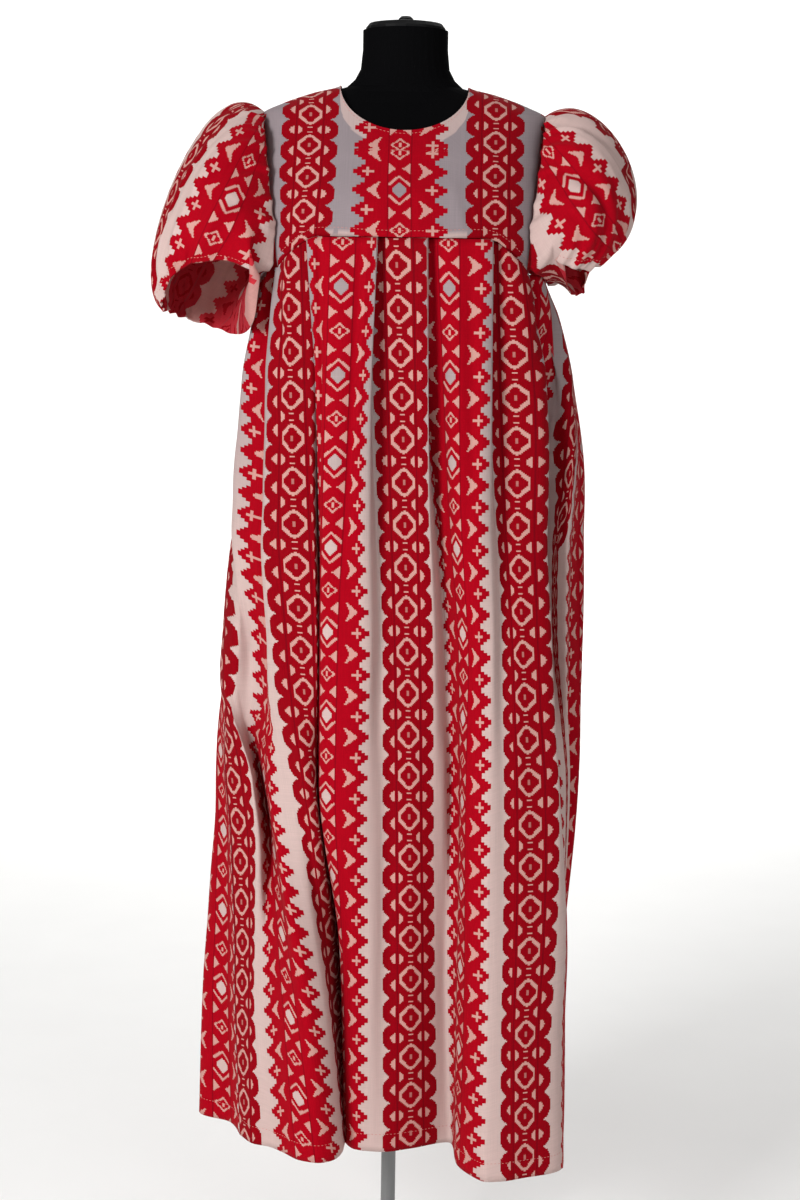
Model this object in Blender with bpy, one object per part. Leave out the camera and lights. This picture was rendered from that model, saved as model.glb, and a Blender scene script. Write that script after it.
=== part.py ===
"""Folk dress with a round yoke, a pleated ankle-length skirt and short puff sleeves,
hanging on a black limbless dress form with a pole and a round base.

Metres, +Z up. The origin is on the floor under the pole, and the front of the dress faces -Y.
Cloth is a wall: its outer face is worked out from short tables, and its inner face lies WALL
behind it. In the tables across and depth are x and y in millimetres.
"""

import math

import bpy
import numpy as np

MM = 0.001
WALL = 1.2 * MM
SEAM_GAP = 0.6 * MM
REST_GAP = 0.35 * MM
SEAM_DROP = 0.9 * MM

# Driving heights
HEM = 243 * MM
YOKE_SEAM = 1442 * MM
UNDERARM = 1386 * MM

# Yoke sizes
SHOULDER_TIP = 180 * MM
NECK_POINT = 82 * MM
FRONT_NECK_DROP = 60 * MM
BACK_NECK_DROP = 24 * MM
YOKE_CORNER = 157 * MM
YOKE_CORNER_DROP = 38 * MM
YOKE_STRAIGHT = 104 * MM

# Grid steps along each piece of cloth
SKIRT_COLUMNS = 78
SKIRT_ROWS = 14
BACK_COLUMNS = 54
YOKE_SHOULDER_STEPS = 7
YOKE_NECK_STEPS = 14
NECK_CROWDING = 0.38
YOKE_ROWS = 9
SLEEVE_COLUMNS = 40
SLEEVE_ROWS = 9

# Stand
BASE_RADIUS = 170 * MM
BASE_THICKNESS = 12 * MM
COLLAR_RADIUS = 24 * MM
COLLAR_HEIGHT = 26 * MM
POLE_RADIUS = 10 * MM

# Body of the form and the room that the cloth leaves round it.
# height, half width, front depth, back depth, squareness, ease at the side, in front, behind
FORM_SECTIONS = (
    (945, 136, 66, 84, 2.1, 0, 0, 0),
    (960, 146, 74, 94, 2.1, 0, 0, 0),
    (1035, 152, 79, 102, 2.1, 0, 0, 0),
    (1130, 134, 76, 94, 2.1, 38, 48, 38),
    (1210, 116, 76, 82, 2.1, 46, 46, 38),
    (1300, 128, 88, 88, 2.1, 48, 38, 34),
    (1385, 142, 102, 96, 2.3, 46, 29, 26),
    (1442, 150, 110, 99, 2.4, 37, 21, 21),
    (1490, 163, 106, 102, 2.5, 23, 12, 13),
    (1540, 176, 90, 100, 2.5, 9.5, 4, 3),
    (1575, 179, 70, 82, 2.4, 6, 4, 4),
    (1598, 173, 56, 63, 2.3, 9.5, 5, 5),
    (1611, 146, 48, 53, 2.2, 12, 7.5, 7.5),
    (1625, 104, 42, 47, 2.1, 14, 10, 10),
    (1633, 75, 42, 45, 2.0, 11, 9.5, 9.5),
    (1643, 64, 45, 45, 2.0, 8, 8, 8),
    (1656, 57, 48, 48, 2.0, 5, 6, 6),
    (1680, 54.5, 50, 50, 2.0, 1.6, 1.6, 1.6),
    (1704, 54.5, 50, 50, 2.0, 1.6, 1.6, 1.6),
)

# Front skirt at six heights. Each row is one line of the cloth: its place across the cut
# width, then where it hangs. A place where the cloth turns back on itself is a pleat's edge.
# cloth, across, depth
FRONT_AT_SEAM = (
    (-478, -182, 4),
    (-440, -179, -20),
    (-412, -159, -28),
    (-384, -177, -42),
    (-348, -164, -70),
    (-318, -147, -61),
    (-287, -157, -83),
    (-258, -149, -95),
    (-233, -141, -107),
    (-208, -119, -109),
    (-188, -101, -112),
    (-167, -119, -124),
    (-116, -73, -131),
    (-72, -30, -133),
    (-49, -51, -121),
    (-25, -29, -122),
    (0, -6, -131),
    (38, 32, -132),
    (64, 9, -120),
    (90, 32, -121),
    (116, 59, -129),
    (172, 113, -120),
    (191, 96, -109),
    (210, 114, -108),
    (233, 134, -108),
    (268, 157, -83),
    (303, 141, -62),
    (340, 167, -66),
    (375, 180, -38),
    (405, 160, -24),
    (432, 181, -14),
    (471, 184, 4),
)
FRONT_AT_WAIST = (
    (-478, -196, 74),
    (-440, -212, 44),
    (-398, -196, 14),
    (-358, -217, -20),
    (-312, -182, -58),
    (-295, -170, -68),
    (-273, -172, -90),
    (-253, -156, -101),
    (-233, -134, -109),
    (-206, -109, -110),
    (-175, -102, -80),
    (-143, -102, -113),
    (-116, -80, -126),
    (-79, -45, -133),
    (-66, -36, -130),
    (-42, -31, -107),
    (0, 9, -110),
    (38, 38, -117),
    (70, 43, -87),
    (116, 70, -122),
    (154, 103, -129),
    (171, 117, -122),
    (197, 121, -97),
    (233, 152, -100),
    (269, 186, -87),
    (347, 160, -14),
    (415, 219, -54),
    (471, 229, -2),
)
FRONT_AT_HIP = (
    (-478, -216, 26),
    (-445, -231, -2),
    (-415, -224, -28),
    (-385, -203, -50),
    (-350, -193, -22),
    (-312, -171, -58),
    (-290, -166, -76),
    (-270, -158, -93),
    (-253, -143, -104),
    (-233, -122, -110),
    (-208, -102, -113),
    (-176, -98, -72),
    (-139, -99, -109),
    (-116, -88, -122),
    (-79, -46, -131),
    (-62, -33, -128),
    (-40, -20, -110),
    (0, 15, -110),
    (37, 48, -112),
    (60, 63, -88),
    (116, 86, -127),
    (154, 106, -146),
    (172, 121, -146),
    (197, 137, -132),
    (233, 166, -128),
    (272, 205, -114),
    (345, 172, -24),
    (413, 228, -52),
    (471, 237, 4),
)
FRONT_AT_KNEE = (
    (-478, -228, -22),
    (-466, -221, -32),
    (-423, -188, -62),
    (-378, -181, -18),
    (-312, -164, -80),
    (-269, -132, -107),
    (-248, -115, -117),
    (-233, -104, -111),
    (-178, -98, -62),
    (-135, -98, -105),
    (-116, -88, -118),
    (-79, -52, -127),
    (-58, -34, -123),
    (-36, -14, -113),
    (0, 19, -110),
    (36, 51, -106),
    (52, 64, -100),
    (67, 74, -87),
    (116, 89, -132),
    (154, 108, -162),
    (173, 122, -168),
    (197, 141, -164),
    (233, 171, -154),
    (275, 211, -139),
    (327, 204, -90),
    (407, 234, -28),
    (471, 228, 25),
)
FRONT_AT_CALF = (
    (-478, -219, -52),
    (-448, -198, -74),
    (-413, -178, -90),
    (-383, -160, -105),
    (-350, -139, -130),
    (-312, -113, -151),
    (-283, -91, -141),
    (-183, -67, -36),
    (-116, -68, -100),
    (-79, -47, -127),
    (-58, -30, -127),
    (-36, -10, -121),
    (0, 25, -116),
    (36, 57, -105),
    (53, 71, -97),
    (63, 76, -100),
    (116, 90, -147),
    (154, 112, -178),
    (173, 124, -188),
    (197, 143, -187),
    (233, 176, -177),
    (275, 215, -161),
    (289, 224, -149),
    (407, 228, -40),
    (471, 224, 20),
)
FRONT_AT_HEM = (
    (-478, -205, -76),
    (-441, -184, -104),
    (-419, -162, -112),
    (-391, -140, -130),
    (-356, -116, -153),
    (-332, -92, -160),
    (-306, -70, -148),
    (-278, -60, -118),
    (-183, -56, -26),
    (-116, -60, -86),
    (-79, -44, -117),
    (-36, -7, -123),
    (0, 30, -111),
    (53, 80, -90),
    (60, 85, -95),
    (116, 89, -152),
    (154, 106, -188),
    (179, 128, -208),
    (197, 146, -206),
    (233, 178, -194),
    (283, 222, -174),
    (299, 231, -160),
    (417, 237, -44),
    (471, 226, 8),
)

# Back skirt: a smooth round of cloth between the side seams, with folds standing off it.
# share of the way round, then how far the cloth stands out at seam, waist, knee and hem
BACK_FOLDS = (
    (0.00, 0, 0, 0, 0),
    (0.05, -7, -6, -3, -8),
    (0.11, 6, 6, 12, 14),
    (0.17, -8, -13, -16, -12),
    (0.23, 5, 9, 10, 6),
    (0.27, 6, 12, 18, 20),
    (0.33, -8, -14, -20, -24),
    (0.38, 5, 5, -4, -10),
    (0.43, 6, 13, 21, 27),
    (0.50, -9, -14, -18, -20),
    (0.56, 5, 9, 10, 8),
    (0.61, 6, 12, 22, 28),
    (0.67, -9, -16, -23, -26),
    (0.72, 3, 2, -6, -9),
    (0.77, 6, 12, 17, 22),
    (0.83, -8, -13, -17, -18),
    (0.88, 5, 9, 14, 15),
    (0.94, -7, -5, -8, -6),
    (1.00, 0, 0, 0, 0),
)
# share of the drop, widest at left, widest at right, depth behind
BACK_ROUNDS = (
    (0.00, -178, 180, 120),
    (0.12, -196, 214, 126),
    (0.25, -218, 246, 132),
    (0.43, -232, 262, 140),
    (0.58, -240, 258, 148),
    (0.76, -252, 248, 156),
    (1.00, -264, 242, 166),
)

# How far the sides of both skirt pieces stand out further, and where across that begins
# share of the drop, at left, at right
SIDE_SPREAD = (
    (0.00, 5, 5),
    (0.04, 9, 16),
    (0.10, 9, 21),
    (0.14, 5, 18),
    (0.19, 1, 13),
    (0.25, 1, 5),
    (0.31, 6, -2),
    (0.41, 3, -5),
    (0.48, 8, -3),
    (0.57, 0, 2.5),
    (0.66, -8, 4),
    (0.75, -8, 2),
    (0.84, -5, -2.5),
    (1.00, -3, -1),
)
SPREAD_FROM = 130 * MM
SPREAD_OVER = 60 * MM

# Share of the way from yoke seam to hem at which each front table lies
FRONT_LEVELS = (
    (0.00, FRONT_AT_SEAM),
    (0.25, FRONT_AT_WAIST),
    (0.43, FRONT_AT_HIP),
    (0.58, FRONT_AT_KNEE),
    (0.785, FRONT_AT_CALF),
    (1.00, FRONT_AT_HEM),
)

# Sleeves: each line runs from the armhole to the hem, drawn by a handle near the head and one
# near the hem. 0 degrees is the top or outer line, 90 the front, 180 the underarm, 270 the back.
# around, head handle across, depth, height, low handle across, depth, height, hem across,
# depth, height
SLEEVE_LEFT = (
    (0, -256, 0, 1668, -362, 0, 1396, -311, -18, 1350),
    (40, -246, -72, 1630, -342, -66, 1414, -303, -52, 1366),
    (70, -232, -110, 1576, -302, -106, 1440, -290, -74, 1391),
    (100, -216, -122, 1512, -250, -126, 1444, -240, -92, 1411),
    (128, -190, -114, 1456, -196, -124, 1424, -178, -108, 1392),
    (155, -196, -78, 1396, -200, -94, 1362, -186, -96, 1335),
    (180, -203, -8, 1386, -211, -18, 1354, -206, -32, 1318),
    (205, -206, 60, 1398, -226, 62, 1356, -222, 38, 1316),
    (240, -208, 112, 1470, -256, 106, 1384, -252, 62, 1325),
    (275, -232, 116, 1552, -316, 100, 1400, -286, 58, 1335),
    (315, -250, 76, 1632, -342, 60, 1402, -304, 22, 1344),
)
SLEEVE_RIGHT = (
    (0, 256, 0, 1650, 354, 0, 1484, 266, -10, 1432),
    (40, 246, -74, 1618, 340, -66, 1484, 254, -46, 1416),
    (70, 240, -110, 1578, 300, -104, 1480, 236, -74, 1406),
    (100, 220, -124, 1520, 262, -126, 1462, 214, -88, 1408),
    (135, 190, -112, 1462, 210, -112, 1450, 192, -88, 1418),
    (165, 200, -66, 1402, 211, -66, 1396, 209, -56, 1392),
    (180, 203, -4, 1391, 212, -6, 1384, 213, -8, 1374),
    (205, 206, 60, 1402, 222, 60, 1392, 214, 40, 1378),
    (240, 210, 112, 1474, 244, 104, 1426, 230, 64, 1390),
    (275, 230, 116, 1550, 290, 100, 1450, 244, 62, 1404),
    (315, 244, 76, 1618, 334, 60, 1480, 258, 30, 1421),
)
GATHERS_ROUND_SLEEVE = 15
HEAD_GATHER = 2.6 * MM
HEM_GATHER = 2.2 * MM

FORM_BLACK = ((0.008, 0.008, 0.009, 1.0), 0.85, 0.0)
POLE_GREY = ((0.23, 0.24, 0.24, 1.0), 0.45, 0.6)
BASE_GREY = ((0.10, 0.10, 0.105, 1.0), 0.5, 0.5)
RED_CLOTH = ((0.56, 0.02, 0.04, 1.0), 0.9, 0.0)
CREAM_CLOTH = ((0.70, 0.55, 0.48, 1.0), 0.9, 0.0)


def clear_scene():
    for thing in list(bpy.data.objects):
        bpy.data.objects.remove(thing, do_unlink=True)


def finish(name, look):
    """A Principled material of one colour, roughness and metallic value."""
    colour, roughness, metallic = look
    material = bpy.data.materials.new(name)
    material.use_nodes = True
    shader = material.node_tree.nodes["Principled BSDF"]
    shader.inputs["Base Color"].default_value = colour
    shader.inputs["Roughness"].default_value = roughness
    shader.inputs["Metallic"].default_value = metallic
    return material


def add_object(name, points, faces, material):
    mesh = bpy.data.meshes.new(name)
    mesh.from_pydata([tuple(p) for p in points], [], faces)
    mesh.materials.append(material)
    mesh.shade_smooth()
    mesh.set_sharp_from_angle(angle=math.radians(50))
    thing = bpy.data.objects.new(name, mesh)
    bpy.context.scene.collection.objects.link(thing)
    return thing


def slopes(places, values):
    """Slopes of a smooth curve through the values that never swings past them."""
    step = np.diff(places)
    rise = np.diff(values, axis=0) / step[:, None]
    slope = np.zeros_like(values)
    slope[0] = rise[0]
    slope[-1] = rise[-1]
    before, after = rise[:-1], rise[1:]
    turning = before * after <= 0
    weight_a = (2 * step[1:] + step[:-1])[:, None]
    weight_b = (step[1:] + 2 * step[:-1])[:, None]
    safe_before = np.where(turning, 1.0, before)
    safe_after = np.where(turning, 1.0, after)
    mean = (weight_a + weight_b) / (weight_a / safe_before + weight_b / safe_after)
    slope[1:-1] = np.where(turning, 0.0, mean)
    return slope


def smooth_between(places, values, at):
    """Smooth curve through rows of values, read at the places given."""
    places = np.asarray(places, float)
    values = np.asarray(values, float)
    at = np.clip(np.asarray(at, float), places[0], places[-1])
    slope = slopes(places, values)
    row = np.clip(np.searchsorted(places, at, side="right") - 1, 0, len(places) - 2)
    step = (places[row + 1] - places[row])[:, None]
    t = (at - places[row])[:, None] / step
    start = values[row] * (1 + 2 * t) * (1 - t) ** 2 + slope[row] * step * t * (1 - t) ** 2
    end = values[row + 1] * t * t * (3 - 2 * t) + slope[row + 1] * step * t * t * (t - 1)
    return start + end


def grid_normals(points, wraps):
    """Unit normals of a grid of points, rows down the cloth and columns across it."""
    down = np.gradient(points, axis=0)
    if wraps:
        across = np.roll(points, -1, axis=1) - np.roll(points, 1, axis=1)
    else:
        across = np.gradient(points, axis=1)
    normal = np.cross(across, down)
    return normal / np.maximum(np.linalg.norm(normal, axis=2, keepdims=True), 1e-12)


def cloth_wall(name, outer, outward, material, wraps=False):
    """A closed wall: the outer grid, an inner grid WALL behind it, and its edges.

    outward is a point's rough outward direction at the middle of the grid, which tells the
    two sides of the cloth apart.
    """
    rows, columns = outer.shape[:2]
    normal = grid_normals(outer, wraps)
    middle = normal[rows // 2, columns // 2]
    if float(np.dot(middle, outward)) < 0:
        normal = -normal
    inner = outer - normal * WALL
    points = np.concatenate([outer.reshape(-1, 3), inner.reshape(-1, 3)])
    size = rows * columns
    last = columns if wraps else columns - 1
    faces = []
    for r in range(rows - 1):
        for c in range(last):
            a = r * columns + c
            b = r * columns + (c + 1) % columns
            faces.append((a, b, b + columns, a + columns))
            faces.append((size + a, size + a + columns, size + b + columns, size + b))
    for c in range(last):
        for r, turned in ((0, False), (rows - 1, True)):
            a = r * columns + c
            b = r * columns + (c + 1) % columns
            rim = (a, size + a, size + b, b)
            faces.append(rim[::-1] if turned else rim)
    if not wraps:
        for r in range(rows - 1):
            for c, turned in ((0, False), (columns - 1, True)):
                a = r * columns + c
                b = a + columns
                rim = (a, b, size + b, size + a)
                faces.append(rim[::-1] if turned else rim)
    across = outer[rows // 2, (columns // 2 + 1) % columns] - outer[rows // 2, columns // 2]
    down = outer[rows // 2 + 1, columns // 2] - outer[rows // 2, columns // 2]
    if float(np.dot(np.cross(across, down), normal[rows // 2, columns // 2])) < 0:
        faces = [face[::-1] for face in faces]
    return add_object(name, points, faces, material)


# Body of the form, and the cloth round it


def form_size(height, with_ease):
    """Half width, front depth, back depth and squareness at each height."""
    table = np.array(FORM_SECTIONS, float)
    sizes = smooth_between(table[:, 0] * MM, table[:, 1:], np.atleast_1d(height))
    room = sizes[:, 4:] * MM if with_ease else 0.0
    return sizes[:, :3] * MM + room, sizes[:, 3]


def cloth_depth(across, height, front):
    """Depth of the yoke's outer face at a place across and a height."""
    size, square = form_size(height, with_ease=True)
    share = np.clip(np.abs(across) / size[:, 0], 0.0, 1.0)
    bow = (1 - share**square) ** (1 / square)
    return -size[:, 1] * bow if front else size[:, 2] * bow


def shoulder_height(across):
    """Height of the shoulder line, where the round of the cloth closes at this width."""
    heights = np.linspace(1560 * MM, 1640 * MM, 161)
    widths = form_size(heights, with_ease=True)[0][:, 0]
    falling = slice(int(np.argmax(widths)), None)
    return np.interp(np.abs(across), widths[falling][::-1], heights[falling][::-1])


def yoke_seam_height(across):
    """The pleat seam is straight over the bust and drops towards each armhole."""
    past = np.clip((np.abs(across) - YOKE_STRAIGHT) / (YOKE_CORNER - YOKE_STRAIGHT), 0, 1)
    return YOKE_SEAM - YOKE_CORNER_DROP * past**1.7


def make_form(material):
    """Torso as one smooth loft, closed flat below and at the neck."""
    heights = np.array([row[0] for row in FORM_SECTIONS], float) * MM
    fine = []
    for low, high in zip(heights[:-1], heights[1:]):
        steps = max(1, round((high - low) / (60 * MM)))
        fine.extend(np.linspace(low, high, steps, endpoint=False))
    fine.append(heights[-1])
    fine = np.array(fine)
    sizes, square = form_size(fine, with_ease=False)
    turn = np.linspace(0, 2 * math.pi, 36, endpoint=False)
    rings = []
    for height, size, n in zip(fine, sizes, square):
        c, s = np.cos(turn), np.sin(turn)
        depth = np.where(s < 0, size[1], size[2])
        x = size[0] * np.sign(c) * np.abs(c) ** (2 / n)
        y = depth * np.sign(s) * np.abs(s) ** (2 / n)
        rings.append(np.stack([x, y, np.full_like(x, height)], axis=1))
    count = len(turn)
    points = np.concatenate(rings)
    faces = [tuple(range(count))[::-1]]
    for r in range(len(rings) - 1):
        for c in range(count):
            a = r * count + c
            b = r * count + (c + 1) % count
            faces.append((a, b, b + count, a + count))
    top = (len(rings) - 1) * count
    faces.append(tuple(range(top, top + count)))
    add_object("form_torso", points, faces, material)


def turned(name, profile, material, steps=24):
    """A solid turned round the pole's axis from (radius, height) pairs, closed at both ends."""
    turn = np.linspace(0, 2 * math.pi, steps, endpoint=False)
    points = [(r * math.cos(a), r * math.sin(a), z) for r, z in profile for a in turn]
    faces = [tuple(range(steps))[::-1]]
    for row in range(len(profile) - 1):
        for c in range(steps):
            a = row * steps + c
            b = row * steps + (c + 1) % steps
            faces.append((a, b, b + steps, a + steps))
    last = (len(profile) - 1) * steps
    faces.append(tuple(range(last, last + steps)))
    add_object(name, points, faces, material)


def make_stand(black, pole_metal, base_metal):
    neck_top = FORM_SECTIONS[-1][0] * MM
    torso_bottom = FORM_SECTIONS[0][0] * MM
    cap = neck_top + REST_GAP
    cap_profile = [(50.5 * MM, cap), (51 * MM, cap + 3 * MM), (47 * MM, cap + 8 * MM)]
    cap_profile += [(30 * MM, cap + 10.5 * MM), (9 * MM, cap + 11.5 * MM)]
    cap_profile += [(9.5 * MM, cap + 15 * MM), (6 * MM, cap + 18 * MM)]
    turned("form_cap", cap_profile, black)
    plate = BASE_THICKNESS
    base_profile = [(BASE_RADIUS, 0.0), (BASE_RADIUS, plate - 4 * MM)]
    base_profile += [(BASE_RADIUS - 4 * MM, plate), (COLLAR_RADIUS + 2 * MM, plate + 2 * MM)]
    base_profile += [(COLLAR_RADIUS, plate + COLLAR_HEIGHT), (COLLAR_RADIUS - 6 * MM, plate + 30 * MM)]
    turned("stand_base", base_profile, base_metal, steps=48)
    foot = plate + 30 * MM + REST_GAP
    turned("stand_pole", [(POLE_RADIUS, foot), (POLE_RADIUS, torso_bottom - REST_GAP)], pole_metal)


# Yokes


def make_yoke(name, front, neck_drop, material):
    """Yoke from the pleat seam to the shoulder line, with half of the neck hole cut in it."""
    shoulder = np.linspace(SHOULDER_TIP, NECK_POINT, YOKE_SHOULDER_STEPS + 1)
    part_way = np.linspace(0, 1, YOKE_NECK_STEPS + 1)[1:-1]
    swing = math.pi * part_way - NECK_CROWDING * np.sin(2 * math.pi * part_way)
    top_x = np.concatenate([-shoulder, -NECK_POINT * np.cos(swing), shoulder[::-1]])
    neck_z = shoulder_height(NECK_POINT) - neck_drop * np.sin(swing)
    shoulder_z = shoulder_height(shoulder)
    top_z = np.concatenate([shoulder_z, neck_z, shoulder_z[::-1]])
    low_x = YOKE_CORNER * np.sign(top_x) * (np.abs(top_x) / SHOULDER_TIP) ** 0.9
    low_z = yoke_seam_height(low_x)
    down = np.linspace(0, 1, YOKE_ROWS + 1)
    rise = np.sin((1 - down) * math.pi / 2)
    grid = np.zeros((YOKE_ROWS + 1, len(top_x), 3))
    middle_gap = SEAM_GAP / 2 if front else -SEAM_GAP / 2
    for r, up in enumerate(rise):
        x = low_x + (top_x - low_x) * up
        z = low_z + (top_z - low_z) * up
        y = cloth_depth(x, z, front)
        grid[r] = np.stack([x, y - middle_gap, z], axis=1)
    cloth_wall(name, grid, (0, -1 if front else 1, 0), material)


# Skirts


def side_spread(points, down):
    """Moves the sides of a skirt piece outwards by SIDE_SPREAD, fading towards its middle."""
    table = np.array(SIDE_SPREAD, float)
    spread = smooth_between(table[:, 0], table[:, 1:] * MM, down)
    left = np.clip((-points[:, :, 0] - SPREAD_FROM) / SPREAD_OVER, 0, 1) * spread[:, :1]
    right = np.clip((points[:, :, 0] - SPREAD_FROM) / SPREAD_OVER, 0, 1) * spread[:, 1:]
    points[:, :, 0] += right - left


def skirt_front_grid(columns, rows, spread=True):
    """Outer face of the front skirt, row by row down from the yoke seam."""
    first, last = FRONT_AT_SEAM[0][0], FRONT_AT_SEAM[-1][0]
    places = np.linspace(first, last, columns + 1)
    shares = [share for share, _ in FRONT_LEVELS]
    levels = []
    for _, table in FRONT_LEVELS:
        table = np.array(table, float)
        levels.append(smooth_between(table[:, 0], table[:, 1:] * MM, places))
    levels = np.stack(levels)
    down = np.linspace(0, 1, rows + 1)
    plan = smooth_between(shares, levels.reshape(len(shares), -1), down)
    plan = plan.reshape(rows + 1, columns + 1, 2)
    if spread:
        side_spread(plan, down)
    top = skirt_top_height(plan[0]) - SEAM_DROP
    height = top[None, :] + (HEM - top)[None, :] * down[:, None]
    return np.concatenate([plan, height[:, :, None]], axis=2)


def skirt_top_height(plan):
    """Top edge under the yoke, then falling to the underarm beyond the yoke's corner."""
    corner = YOKE_SEAM - YOKE_CORNER_DROP
    under_yoke = yoke_seam_height(plan[:, 0])
    past = np.clip(1 - np.abs(plan[:, 1]) / (84 * MM), 0, 1)
    return under_yoke - (corner - UNDERARM) * past


def skirt_back_grid(columns, rows):
    """Outer face of the back skirt, between the same side seams as the front."""
    front = skirt_front_grid(SKIRT_COLUMNS, rows, spread=False)
    round_table = np.array(BACK_ROUNDS, float)
    folds = np.array(BACK_FOLDS, float)
    down = np.linspace(0, 1, rows + 1)
    share = np.linspace(0, 1, columns + 1)
    stand_off = smooth_between(folds[:, 0], folds[:, 1:] * MM, share)
    fold_shares = (0.0, 0.25, 0.58, 1.0)
    stand_off = smooth_between(fold_shares, stand_off.T, down)
    grid = np.zeros((rows + 1, columns + 1, 3))
    for r, size in enumerate(smooth_between(round_table[:, 0], round_table[:, 1:], down)):
        left, right = front[r, 0, :2], front[r, -1, :2]
        widest_left, widest_right, depth = size * MM
        grid[r, :, :2] = back_round(left, right, widest_left, widest_right, depth, share, stand_off[r])
        grid[r, :, 2] = np.interp(share, (0, 1), (front[r, 0, 2], front[r, -1, 2]))
    side_spread(grid, down)
    lift = yoke_seam_height(grid[0, :, 0]) - SEAM_DROP - grid[0, :, 2]
    lift = np.maximum(lift, 0) * np.clip(grid[0, :, 1] / (84 * MM), 0, 1)
    grid[:, :, 2] += lift[None, :] * (1 - down)[:, None]
    return grid


def back_round(left, right, widest_left, widest_right, depth, share, stand_off):
    """One level of the back: side seam, round behind at the given depth, other side seam."""
    turn = math.pi * np.linspace(0, 1, 181)
    centre = (widest_left + widest_right) / 2
    half = (widest_right - widest_left) / 2
    n = 2.3
    c, s = np.cos(turn), np.sin(turn)
    x = centre - half * np.sign(c) * np.abs(c) ** (2 / n)
    y = 20 * MM + (depth - 20 * MM) * np.abs(s) ** (2 / n)
    path = np.stack([x, y], axis=1)
    keep = (path[:, 1] > left[1]) | (x > centre)
    path = path[keep]
    path = np.concatenate([[left + (0, 2 * SEAM_GAP)], path[4:-4], [right + (0, 2 * SEAM_GAP)]])
    length = np.concatenate([[0], np.cumsum(np.linalg.norm(np.diff(path, axis=0), axis=1))])
    fine = smooth_between(length / length[-1], path, np.linspace(0, 1, 400))
    kernel = np.hanning(31)
    kernel /= kernel.sum()
    padded = np.concatenate([2 * fine[0] - fine[15:0:-1], fine, 2 * fine[-1] - fine[-2:-17:-1]])
    fine = np.stack([np.convolve(padded[:, k], kernel, "valid") for k in (0, 1)], axis=1)
    along = np.gradient(fine, axis=0)
    outward = np.stack([-along[:, 1], along[:, 0]], axis=1)
    outward /= np.linalg.norm(outward, axis=1, keepdims=True)
    at = share * (len(fine) - 1)
    whole = np.arange(len(fine))
    base = np.stack([np.interp(at, whole, fine[:, k]) for k in (0, 1)], axis=1)
    away = np.stack([np.interp(at, whole, outward[:, k]) for k in (0, 1)], axis=1)
    return base + away * stand_off[:, None]


# Sleeves


def armhole_point(side, turn):
    """Edge of the armhole: over the shoulder tip, down the yokes, and under the arm."""
    height_top = float(shoulder_height(SHOULDER_TIP))
    corner = YOKE_SEAM - YOKE_CORNER_DROP
    # around, half width, depth, height
    edge = (
        (0, 180.5, 0, height_top / MM),
        (45, 177, -52, 1575),
        (90, 169, -74, 1510),
        (125, 161, -86, 1440),
        (140, 162, -88, corner / MM + 5),
        (160, 182, -54, 1394),
        (180, 190, 4, 1389),
        (200, 184, 58, 1395),
        (220, 165, 91, corner / MM + 5),
        (235, 161, 88, 1440),
        (270, 169, 80, 1510),
        (315, 177, 56, 1575),
        (360, 180.5, 0, height_top / MM),
    )
    edge = np.array(edge, float)
    points = smooth_between(edge[:, 0], edge[:, 1:] * MM, turn)
    points[:, 0] *= side
    return points


def sleeve_grid(side, table, columns, rows):
    """Outer face of a sleeve: rows from armhole to hem, columns round it."""
    turn = np.linspace(0, 360, columns, endpoint=False)
    table = np.array(table, float)
    places = np.concatenate([table[-2:, 0] - 360, table[:, 0], table[:2, 0] + 360])
    values = np.concatenate([table[-2:, 1:], table[:, 1:], table[:2, 1:]]) * MM
    lines = smooth_between(places, values, turn)
    start = armhole_point(side, turn)
    start[:, 0] += side * SEAM_GAP / 2
    head, low, hem = lines[:, :3], lines[:, 3:6], lines[:, 6:]
    grid = []
    for v in np.linspace(0, 1, rows + 1):
        line = start * (1 - v) ** 3 + 3 * head * v * (1 - v) ** 2
        line += 3 * low * v**2 * (1 - v) + hem * v**3
        grid.append(line)
    grid = np.array(grid)
    wave = np.cos(np.radians(turn) * GATHERS_ROUND_SLEEVE)
    v = np.linspace(0, 1, rows + 1)
    size = HEAD_GATHER * np.clip(v * 6, 0, 1) * (1 - v) + HEM_GATHER * v**3
    normal = grid_normals(grid, wraps=True)
    inward = normal[rows // 2, 0, 0] * side < 0
    return grid + (-1 if inward else 1) * normal * (size[:, None] * wave[None, :])[:, :, None]


def main():
    clear_scene()
    black = finish("form black", FORM_BLACK)
    pole_metal = finish("pole grey", POLE_GREY)
    base_metal = finish("base grey", BASE_GREY)
    red = finish("red jacquard cotton", RED_CLOTH)
    cream = finish("cream jacquard cotton", CREAM_CLOTH)
    make_form(black)
    make_stand(black, pole_metal, base_metal)
    make_yoke("yoke_front", True, FRONT_NECK_DROP, cream)
    make_yoke("yoke_back", False, BACK_NECK_DROP, cream)
    cloth_wall("skirt_front", skirt_front_grid(SKIRT_COLUMNS, SKIRT_ROWS), (0, -1, 0), red)
    cloth_wall("skirt_back", skirt_back_grid(BACK_COLUMNS, SKIRT_ROWS), (0, 1, 0), red)
    for name, side, table in (("sleeve_left", -1, SLEEVE_LEFT), ("sleeve_right", 1, SLEEVE_RIGHT)):
        grid = sleeve_grid(side, table, SLEEVE_COLUMNS, SLEEVE_ROWS)
        away = grid[SLEEVE_ROWS // 2, SLEEVE_COLUMNS // 2] - grid[SLEEVE_ROWS // 2].mean(axis=0)
        cloth_wall(name, grid, away, red, wraps=True)


main()
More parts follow.
